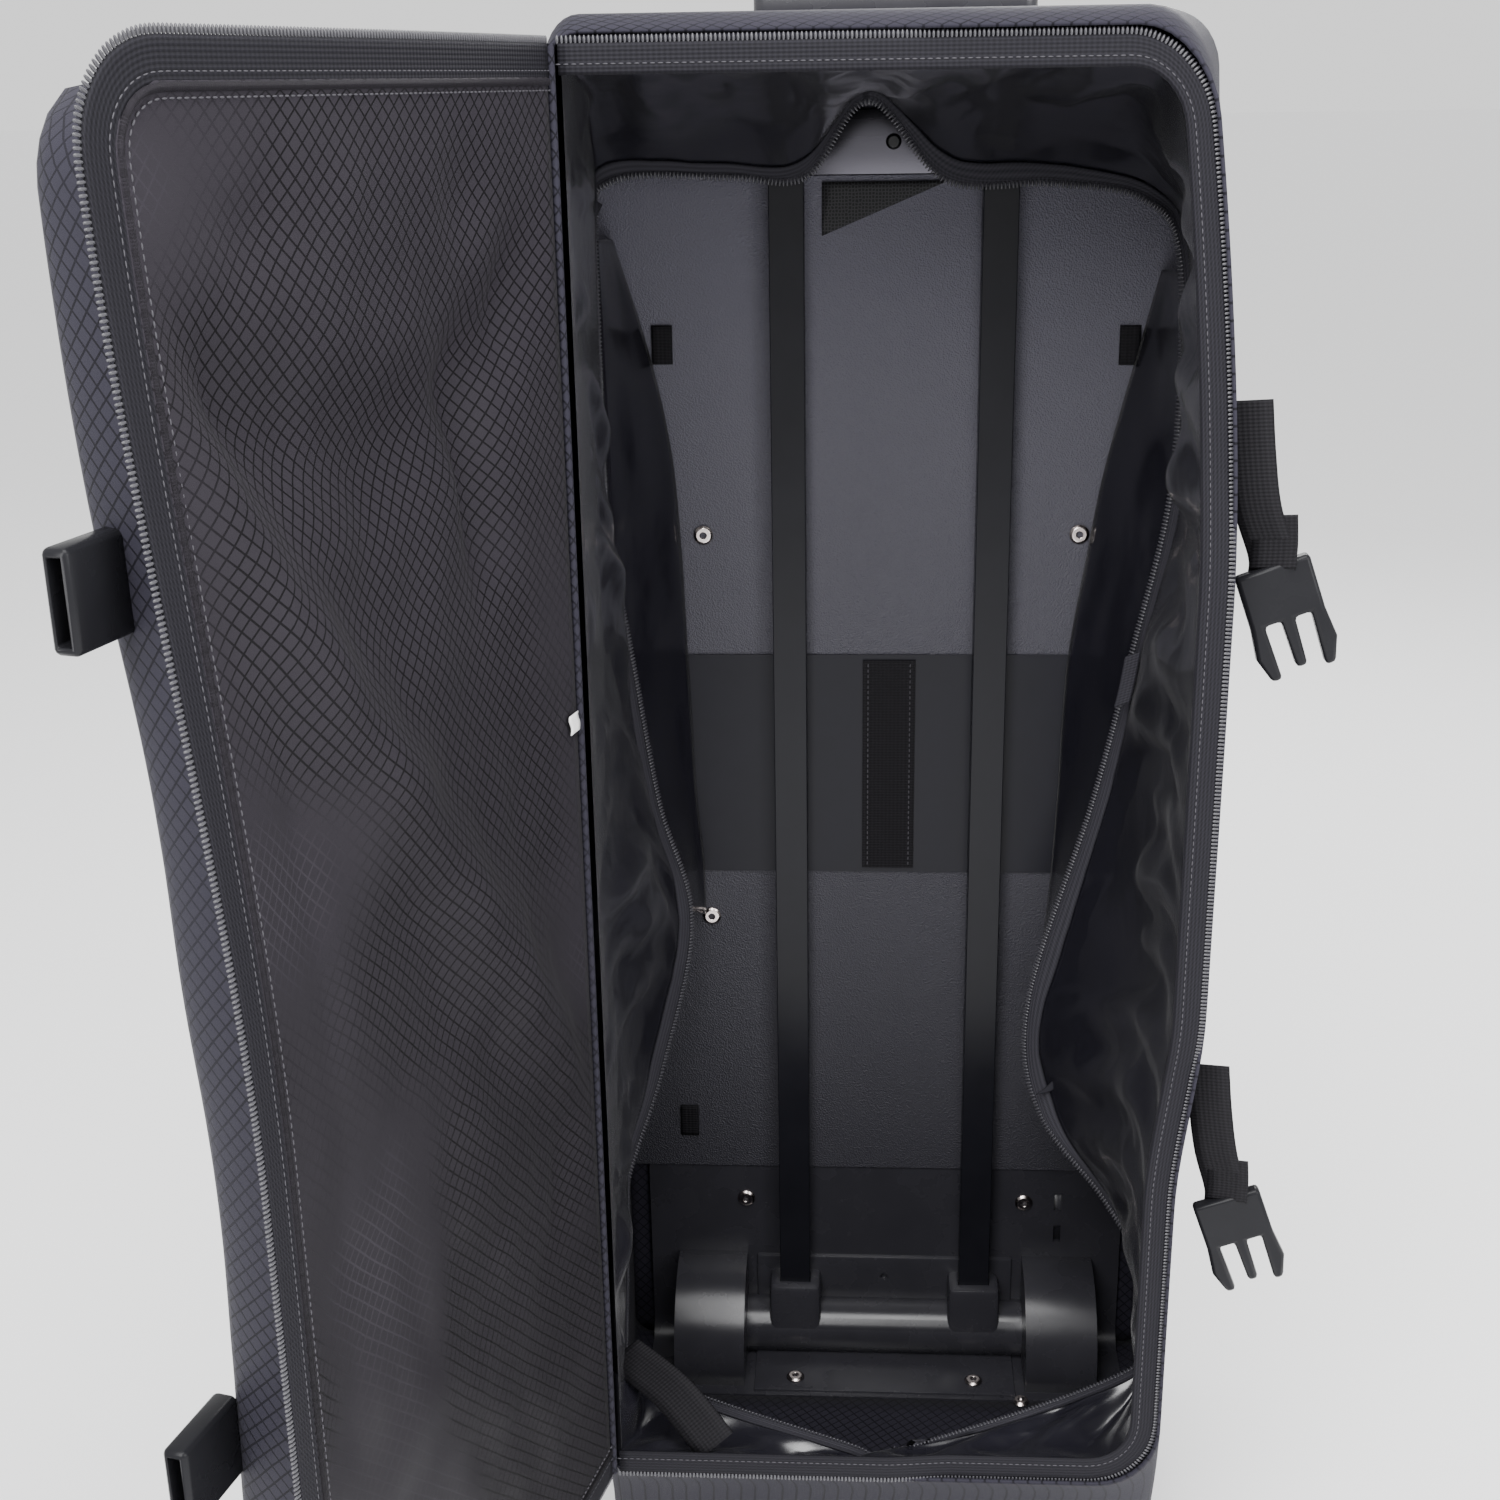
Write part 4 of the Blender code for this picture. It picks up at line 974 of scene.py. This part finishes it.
def build_flaps():
    """The lining behind its opened edge, down to the board, and two grey tabs sewn on it."""
    for name, places in (("left", FLAP_LEFT), ("right", FLAP_RIGHT)):
        edge = smooth_path([inside_bag(on_depth(px, py, depth)) for py, px, depth, fold in places], 48)
        board = smooth_path([on_depth(fold, py, DEPTH - 0.005) for py, px, depth, fold in places], 48)
        rows = []
        for n, (start, end) in enumerate(zip(edge, board)):
            row = []
            for j in range(13):
                share = j / 12
                ripple = 0.6 + noise.noise(Vector((n * 0.14, share * 2, 4)))
                sag = 0.010 * math.sin(math.pi * share) * ripple
                row.append(start.lerp(end, share) + Vector((0, sag, 0)))
            rows.append(row)
        flap = grid_piece(f"lining_flap_{name}", rows, "lining_nylon", "bag", LINING_CLOTH)
    for n, places in enumerate(LINING_TABS):
        path = smooth_path([on_depth(*place) for place in places], 14)
        tab = strip_piece(f"lining_tab_{n}", path, (0.9, -0.2, 0.4), 0.012, THIN_CLOTH, "lining_tape", "bag")


def build_lining_zipper(eye, outer):
    """Tape and coil along the lining's opened edge, with the slider's pull at its foot."""
    lift = Vector((0, -LINING_TAPE_OUT, 0))
    rows = [[point + lift for point in outer], [], []]
    for point in eye:
        inward = (Vector((0, point.y, min(max(point.z, 0.34), 0.92))) - point).normalized()
        rows[1].append(inside_bag(point) + lift)
        rows[2].append(inside_bag(point + inward * 0.006 + Vector((0, -0.0035, 0))))
    tape = grid_piece("lining_zipper_tape", rows, "lining_tape", "bag", LINING_TAPE_CLOTH, closed=True)
    coil = rows[2] + rows[2][:1]
    repeat_along("lining_coil", coil, LINING_COIL_PITCH, COIL_RADIUS, COIL_HALF, "coil", "bag", across=True)
    tip = inside_bag(min(eye, key=lambda point: point.z))
    pull = [inside_bag(tip + Vector(step)) + Vector((0, 0, 0.003)) for step in (
        (0, -0.002, 0.004), (0, -0.006, 0.002), (0.001, -0.010, 0.0), (0.001, -0.014, -0.002))]
    path = smooth_path(pull, 12)
    tab = strip_piece("lining_zipper_pull", path, (1, 0, 0), 0.007, WEBBING_CLOTH, "coil", "bag")


# Lid
def lid_point(across, out, z):
    """A point of the lid at rest: across from the hinge, out of its outer face, and height."""
    share = min(1.0, max(0.0, (z - FLARE_FROM) / (RIM_TOP - FLARE_FROM)))
    flare = FLARE * (3 * share ** 2 - 2 * share ** 3) * across / LID_WIDTH
    turned = Matrix.Rotation(LID_OPEN - flare, 3, "Z") @ Vector((across, -out, 0))
    return Vector((LID_AXIS.x, LID_AXIS.y, 0)) + turned + Vector((0, 0, z))


def lid_reach(z, inset, corner):
    """How far the lid's outline reaches from its hinge at a height."""
    low, high = RIM_BOTTOM + inset, RIM_TOP - inset
    reach = LID_WIDTH - inset
    rise = min(z - low, high - z)
    if rise >= corner:
        return reach
    drop = corner - max(0.0, rise)
    return reach - corner + math.sqrt(max(0.0, corner * corner - drop * drop))


def lid_slack(across, z):
    """Soft hollows and ridges of the lid's cloth, positive to the outside."""
    u, v = across / LID_WIDTH, (z - RIM_BOTTOM) / (RIM_TOP - RIM_BOTTOM)
    edge = min(1.0, (u - 0.03) / 0.12, (0.94 - u) / 0.12, (v - 0.02) / 0.06, (0.98 - v) / 0.06)
    edge = max(0.0, edge)
    valley = math.exp(-((v - 0.90 + 0.10 * math.sin(math.pi * u)) / 0.035) ** 2) * 0.010
    ridge = math.exp(-((v - 0.30 - 0.55 * u) / 0.05) ** 2) * 0.011
    fold = math.exp(-(((u - 0.26) / 0.05) ** 2 + ((v - 0.76) / 0.06) ** 2)) * 0.010
    rumple = noise.noise(Vector((across * 13, 1.0, z * 9))) * 0.006
    small = noise.noise(Vector((across * 34, 5.0, z * 26))) * 0.0022
    return edge * (0.006 + 1.5 * (valley - ridge + fold) + rumple + small)


def build_lid_panel():
    """The lid's inner panel, with its tape, coil, binding and stitching."""
    rows = []
    for i in range(121):
        z = RIM_BOTTOM + PANEL_END_INSET + (RIM_TOP - RIM_BOTTOM - 2 * PANEL_END_INSET) * i / 120
        reach = lid_reach(z, PANEL_INSET, PANEL_CORNER)
        row = []
        for j in range(57):
            across = PANEL_FROM_HINGE + (reach - PANEL_FROM_HINGE) * j / 56
            row.append(lid_point(across, 0.0005 + lid_slack(across, z), z))
        rows.append(row)
    panel = grid_piece("lid_inner_panel", rows, "lid_inside", "lid", HEAVY_CLOTH)
    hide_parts("lid_panel")
    rows = [lid_outline(LID_TAPE * i / 6, 0.0002) for i in range(7)]
    tape = grid_piece("lid_tape_cloth", rows, "zipper_tape", "lid", TAPE_CLOTH)
    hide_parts("lid_zipper_tape")
    coil = even_path(lid_outline(-COIL_OUT, 0.0003), 480)
    repeat_along("lid_coil", coil, sizes().coil_pitch, COIL_RADIUS, COIL_HALF, "coil", "lid", across=True)
    for name, inset, radius in (("tape", 0.0136, STITCH_RADIUS), ("edge", 0.0235, BOLD_STITCH_RADIUS)):
        path = even_path(lid_outline(inset, -0.0005), 480)
        repeat_along(f"lid_{name}_stitches", path, sizes().stitch_pitch, radius, STITCH_HALF, "thread", "lid")
    piping(even_path(lid_outline(0.0192, 0.0004), 300), "lid_binding", 0.0022, "lid_inside", "lid")
    build_gusset()


def build_gusset():
    """The strip of cloth outside the hinge line, shaped for the lid at rest."""
    wall = Vector((-wall_half(GUSSET_DEPTH) - 0.0016, RIM_Y + GUSSET_DEPTH, 0))
    fold = Vector((LID_AXIS.x - 0.0052, LID_AXIS.y, 0))
    rows = []
    for i in range(81):
        z = RIM_BOTTOM + 0.004 + (RIM_TOP - RIM_BOTTOM - 0.008) * i / 80
        path = smooth_path([(wall.x, wall.y, z), (fold.x, fold.y, z), lid_point(*GUSSET_SEAM, z)], 10)
        pucker = [0.0009 * noise.noise(Vector((j * 0.6, 2.0, z * 60))) for j in range(len(path))]
        rows.append([point + Vector((-abs(rise), 0, 0)) for point, rise in zip(path, pucker)])
    gusset = grid_piece("hinge_gusset", rows, "outer_fabric", None, THIN_CLOTH)
    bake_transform(gusset)


def lid_outline(inset, out):
    """Round the lid's free edges from the hinge's top to the hinge's foot."""
    edges = free_edges(HINGE_GAP, LID_WIDTH - inset, RIM_BOTTOM + inset, RIM_TOP - inset,
                       max(0.012, RIM_CORNER - inset))
    return [lid_point(across, out, z) for across, z in edges]


def pocket_height(across, z):
    """How far the slack outer pocket stands out of the lid."""
    low, high = RIM_BOTTOM + POCKET_INSET, RIM_TOP - POCKET_INSET
    v = (z - low) / (high - low)
    reach = lid_reach(z, POCKET_INSET, POCKET_CORNER)
    rim = min(across - POCKET_FROM_HINGE, reach - across, (z - low) * 1.2, (high - z) * 1.2)
    rise = 1 - (1 - min(1.0, max(0.0, rim / POCKET_EDGE))) ** 2.6
    full = 0.041 + 0.006 * math.exp(-((v - 0.14) / 0.20) ** 2) + 0.004 * math.exp(-((v - 0.86) / 0.16) ** 2)
    crease = noise.noise(Vector((across * 12, 9.0, z * 8))) * 0.004
    return 0.0038 + max(0.0, lid_slack(across, z)) * (1 - rise) + rise * max(0.022, full + crease)


def build_pocket():
    """The lid's slack outer pocket and the two straps that run over it."""
    low, high = RIM_BOTTOM + POCKET_INSET, RIM_TOP - POCKET_INSET
    rows = []
    for i in range(101):
        z = low + (high - low) * i / 100
        reach = lid_reach(z, POCKET_INSET, POCKET_CORNER)
        row = []
        for j in range(61):
            swing = 0.5 - 0.5 * math.cos(math.pi * j / 60)
            across = POCKET_FROM_HINGE + (reach - POCKET_FROM_HINGE) * swing
            row.append(lid_point(across, pocket_height(across, z), z))
        rows.append(row)
    pocket = grid_piece("lid_pocket_cloth", rows, "outer_fabric", "lid", OUTER_CLOTH)
    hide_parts("lid_pocket")
    for name in ("upper", "lower"):
        s_low, s_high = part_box(f"lid_strap_{name}")
        middle = (s_low.z + s_high.z) / 2
        path = []
        for i in range(41):
            across = POCKET_FROM_HINGE + (LID_WIDTH - STRAP_END - POCKET_FROM_HINGE) * i / 40
            end = min(1.0, max(0.0, (i - 33) / 7))
            lift = max(pocket_height(across, middle) + 0.0022, STRAP_END_LIFT * end)
            path.append(lid_point(across, lift, middle))
        strap = strip_piece(f"lid_webbing_{name}", path, (0, 0, 1), s_high.z - s_low.z, WEBBING_CLOTH,
                            "black_webbing", "lid")
        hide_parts(f"lid_strap_{name}")
        dress(f"female_buckle_{name}", "buckle", "lid", 0.0016)


# Straps and small trim
def build_straps():
    """The right wall's webbing straps, folded at their buckles."""
    for name in ("upper", "lower"):
        low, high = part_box(f"side_strap_{name}")
        b_low, b_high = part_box(f"male_buckle_{name}")
        x0 = low.x + 0.010 - drawn_in(high.z)
        x1 = (b_low.x + b_high.x) / 2
        y = (low.y + high.y) / 2
        path = smooth_path([(x0, y - 0.001, high.z), (x0 + 0.003, y - 0.004, high.z - 0.030),
                            (x0 + 0.008, y - 0.005, low.z + 0.035), (x1 - 0.001, y - 0.001, low.z + 0.006),
                            (x1, y, low.z - 0.004)], 30)
        strap = strip_piece(f"side_webbing_{name}", path, WEBBING_AXIS, 0.027, WEBBING_CLOTH,
                            "black_webbing", "bag")
        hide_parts(f"side_strap_{name}")
        loop = smooth_path([(x1, y - 0.0022, low.z - 0.002), (x1, y - 0.0034, low.z + 0.012),
                            (x1 - 0.002, y - 0.0066, low.z + 0.030)], 12)
        fold = strip_piece(f"side_webbing_fold_{name}", loop, WEBBING_AXIS, 0.026, WEBBING_CLOTH,
                           "black_webbing", "bag")
        buckle = dress(f"male_buckle_{name}", "buckle", "bag", 0.0024)
        hang = Vector((x1, y, low.z - 0.002))
        turn = Matrix.Rotation(sizes().buckle_tilt, 4, "Y").inverted()
        buckle.data.transform(Matrix.Translation(hang) @ turn @ Matrix.Translation(-hang))


def build_band():
    """The vinyl band and its middle strip, with a row of stitches down each edge."""
    dress("tube_band", "vinyl", "bag")
    dress("band_strip", "black_webbing", "bag")
    add_uv("band_strip_dressed")
    low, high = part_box("band_strip")
    for name, x in (("left", low.x + 0.004), ("right", high.x - 0.004)):
        path = [Vector((x, low.y - 0.0003, z)) for z in (low.z + 0.004, high.z - 0.004)]
        repeat_along(f"band_stitches_{name}", path, 0.0042, BOLD_STITCH_RADIUS, STITCH_HALF, "thread", "bag")


def build_patches():
    """The hook patches on the board's edges."""
    for n, (px, py) in enumerate(HOOK_PATCHES):
        middle = on_depth(px, py, DEPTH - 0.0012)
        path = [middle + Vector((0, 0, 0.014 - 0.028 * i / 8)) for i in range(9)]
        patch = strip_piece(f"hook_patch_{n}", path, (1, 0, 0), 0.015, THIN_CLOTH, "black_webbing", "bag")


def build_tag():
    """The small blank tag at the hinge."""
    top = on_depth(*TAG_TOP, 0).z
    path = []
    for i in range(8):
        path.append(lid_point(0.014 + 0.001 * math.sin(i), -0.0022 - 0.0001 * i, top - 0.0016 * i))
    width_axis = lid_point(1, 0, 0) - lid_point(0, 0, 0)
    label = strip_piece("blank_tag", path, width_axis, 0.013, TAG_CLOTH, "tag", "lid")


def build_net():
    """The mesh corner at the top of the board."""
    corner = [on_depth(px, py, DEPTH - 0.0010) for px, py in NET_CORNERS]
    rows = []
    for i in range(9):
        share = i / 8
        start, end = corner[0].lerp(corner[2], share), corner[1].lerp(corner[2], share)
        rows.append([start.lerp(end, j / 8) for j in range(9)])
    net = grid_piece("board_mesh_corner", rows, "mesh", "bag", NET_CLOTH)


def build_floor_rivet():
    """The round headed rivet on the bag's floor."""
    shape = bmesh.new()
    place = Matrix.Translation(on_depth(*FLOOR_RIVET))
    bmesh.ops.create_cone(shape, cap_ends=True, segments=32, radius1=0.0068, radius2=0.0050, depth=0.0020,
                          matrix=place)
    bmesh.ops.create_uvsphere(shape, u_segments=24, v_segments=10, radius=0.0032, matrix=place)
    finish_piece("floor_rivet", shape, "nickel", "bag", smooth=False)


def build_trim():
    """Band, hook patches, blank tag, webbing tail, mesh corner and floor rivet."""
    build_band()
    build_patches()
    build_tag()
    path = smooth_path([on_depth(*place) for place in BOTTOM_TAIL], 24)
    tail = strip_piece("webbing_tail", path, (0.75, 0.15, 0.62), 0.030, WEBBING_CLOTH, "black_webbing", "bag")
    build_net()
    build_floor_rivet()


def add_uv(name):
    """A flat UV from X and Z on a dressed copy, so that a woven finish lies straight."""
    mesh = bpy.data.objects[name].data
    layer = mesh.uv_layers.get("flat") or mesh.uv_layers.new(name="flat")
    for loop in mesh.loops:
        place = mesh.vertices[loop.vertex_index].co
        layer.data[loop.index].uv = (place.x + place.y, place.z)


def build_rigid():
    """Finishes and softened edges of the rigid CAD nodes."""
    for node in ("back_board", "handle_housing", "grip", "stand_foot", "skid_rail_left", "skid_rail_right",
                 "outer_tube_left", "outer_tube_right", "wheel_chassis", "axle_cap_left", "axle_cap_right",
                 "axle"):
        dress(node, slot_of(node), "bag" if node != "grip" else "handle", 0.0006 if node != "axle" else 0.0)
    dress("tube_bracket", "bracket", "bag", 0.0006)
    dress("bracket_screw", "screw", "bag", 0.0003)
    for node in frame["nodes"]:
        if "rivet" in node:
            dress(node, "nickel", "bag", 0.0004)
    for side in ("left", "right"):
        dress(f"inner_tube_{side}", "bright_tube", "handle", 0.0006)
        dress(f"tyre_{side}", "tyre_rubber", f"wheel_{side}")
        dress(f"wheel_hub_{side}", "hub_plastic", f"wheel_{side}")
    dress("release_button", "hub_plastic", "button", 0.0004)
    add_uv("hinge_piping_dressed")


# Stage, with each light's name, place, size and power
FLOOR_HALF = 60
LIGHTS = (("key", (-0.9, -2.4, 2.5), 1.6, 95), ("fill", (1.9, -1.7, 1.7), 1.6, 45),
          ("overhead", (0.1, -0.9, 2.9), 1.5, 70), ("rim", (0.6, 2.2, 2.2), 1.4, 40))


def build_stage():
    """Pale floor, soft lights, and a camera where the photograph was taken."""
    shape = bmesh.new()
    corners = ((-FLOOR_HALF, -FLOOR_HALF), (FLOOR_HALF, -FLOOR_HALF), (FLOOR_HALF, FLOOR_HALF),
               (-FLOOR_HALF, FLOOR_HALF))
    shape.faces.new([shape.verts.new((x, y, 0)) for x, y in corners])
    mesh = bpy.data.meshes.new("floor")
    shape.to_mesh(mesh)
    shape.free()
    mesh.materials.append(Nodes("pale_floor", (0.95, 0.95, 0.955), 0.8).material)
    link_new("floor", mesh)
    world = bpy.data.worlds.new("studio")
    world.use_nodes = True
    world.node_tree.nodes["Background"].inputs[0].default_value = (1.0, 1.0, 1.0, 1)
    world.node_tree.nodes["Background"].inputs[1].default_value = 1.25
    bpy.context.scene.world = world
    aim = Vector((0, RIM_Y + 0.1, 0.6))
    for name, place, size, power in LIGHTS:
        light = bpy.data.lights.new(name, "AREA")
        light.size = size
        light.energy = power
        lamp = link_new(name, light)
        lamp.location = place
        lamp.rotation_euler = (aim - lamp.location).to_track_quat("-Z", "Y").to_euler()
    right, up, forward = camera_axes()
    camera = bpy.data.cameras.new("camera")
    camera.sensor_width = 36.0
    camera.lens = camera.sensor_width * PHOTO_FOCAL / PHOTO_SIZE
    camera.clip_start = 0.05
    seat = link_new("camera", camera)
    turn = Matrix((right, up, -forward)).transposed().to_4x4()
    seat.matrix_world = Matrix.Translation(camera_place()) @ turn
    bpy.context.scene.camera = seat


class BAG_OT_finishes(bpy.types.Operator):
    """Makes the procedural finishes"""
    bl_idname = "bag.finishes"
    bl_label = "Finishes"

    def execute(self, context):
        make_looks()
        return {"FINISHED"}


class BAG_OT_shell(bpy.types.Operator):
    """Builds the soft outer body and its back"""
    bl_idname = "bag.shell"
    bl_label = "Outer body"

    def execute(self, context):
        build_shell()
        return {"FINISHED"}


class BAG_OT_rim(bpy.types.Operator):
    """Builds the main zipper's half on the rim, with its piping and stitches"""
    bl_idname = "bag.rim"
    bl_label = "Rim zipper"

    def execute(self, context):
        build_rim()
        return {"FINISHED"}


class BAG_OT_lid(bpy.types.Operator):
    """Builds the lid's inner panel and its half of the main zipper"""
    bl_idname = "bag.lid"
    bl_label = "Lid"

    def execute(self, context):
        build_lid_panel()
        return {"FINISHED"}


class BAG_OT_pocket(bpy.types.Operator):
    """Builds the lid's outer pocket with its straps and buckles"""
    bl_idname = "bag.pocket"
    bl_label = "Lid pocket"

    def execute(self, context):
        build_pocket()
        return {"FINISHED"}


class BAG_OT_lining(bpy.types.Operator):
    """Builds the slack lining and its opened zipper"""
    bl_idname = "bag.lining"
    bl_label = "Lining"

    def execute(self, context):
        build_lining()
        return {"FINISHED"}


class BAG_OT_straps(bpy.types.Operator):
    """Builds the side straps and dresses their buckles"""
    bl_idname = "bag.straps"
    bl_label = "Side straps"

    def execute(self, context):
        build_straps()
        return {"FINISHED"}


class BAG_OT_rigid(bpy.types.Operator):
    """Dresses the board, tubes, chassis, wheels, handle, rivets and foot"""
    bl_idname = "bag.rigid"
    bl_label = "Rigid pieces"

    def execute(self, context):
        build_rigid()
        return {"FINISHED"}


class BAG_OT_trim(bpy.types.Operator):
    """Builds the band, patches, tag, webbing tail, mesh and floor rivet"""
    bl_idname = "bag.trim"
    bl_label = "Trim"

    def execute(self, context):
        build_trim()
        return {"FINISHED"}


class BAG_OT_stage(bpy.types.Operator):
    """Sets the floor, the lights and the camera"""
    bl_idname = "bag.stage"
    bl_label = "Stage"

    def execute(self, context):
        build_stage()
        return {"FINISHED"}


OPERATORS = (BAG_OT_finishes, BAG_OT_stage, BAG_OT_shell, BAG_OT_rim, BAG_OT_lid, BAG_OT_pocket,
             BAG_OT_lining, BAG_OT_straps, BAG_OT_rigid, BAG_OT_trim)


class BAG_PT_panel(bpy.types.Panel):
    """Lists the bag's settings and pieces"""
    bl_label = "Hockey Bag"
    bl_idname = "BAG_PT_panel"
    bl_space_type = "VIEW_3D"
    bl_region_type = "UI"
    bl_category = "Hockey Bag"

    def draw(self, context):
        for group in (context.scene.bag_sizes, context.scene.bag_colours):
            for name in group.__annotations__:
                self.layout.prop(group, name)
        for piece in OPERATORS:
            self.layout.operator(piece.bl_idname)


CLASSES = (BagSizes, BagColours, *OPERATORS, BAG_PT_panel)


def register():
    for entry in CLASSES:
        bpy.utils.register_class(entry)
    bpy.types.Scene.bag_sizes = bpy.props.PointerProperty(type=BagSizes)
    bpy.types.Scene.bag_colours = bpy.props.PointerProperty(type=BagColours)


def unregister():
    del bpy.types.Scene.bag_colours
    del bpy.types.Scene.bag_sizes
    for entry in reversed(CLASSES):
        bpy.utils.unregister_class(entry)


def main():
    """Builds every piece in order."""
    register()
    bpy.ops.bag.finishes()
    bpy.ops.bag.stage()
    bpy.ops.bag.shell()
    bpy.ops.bag.rim()
    bpy.ops.bag.lid()
    bpy.ops.bag.pocket()
    bpy.ops.bag.lining()
    bpy.ops.bag.straps()
    bpy.ops.bag.rigid()
    bpy.ops.bag.trim()


if __name__ == "__main__":
    main()
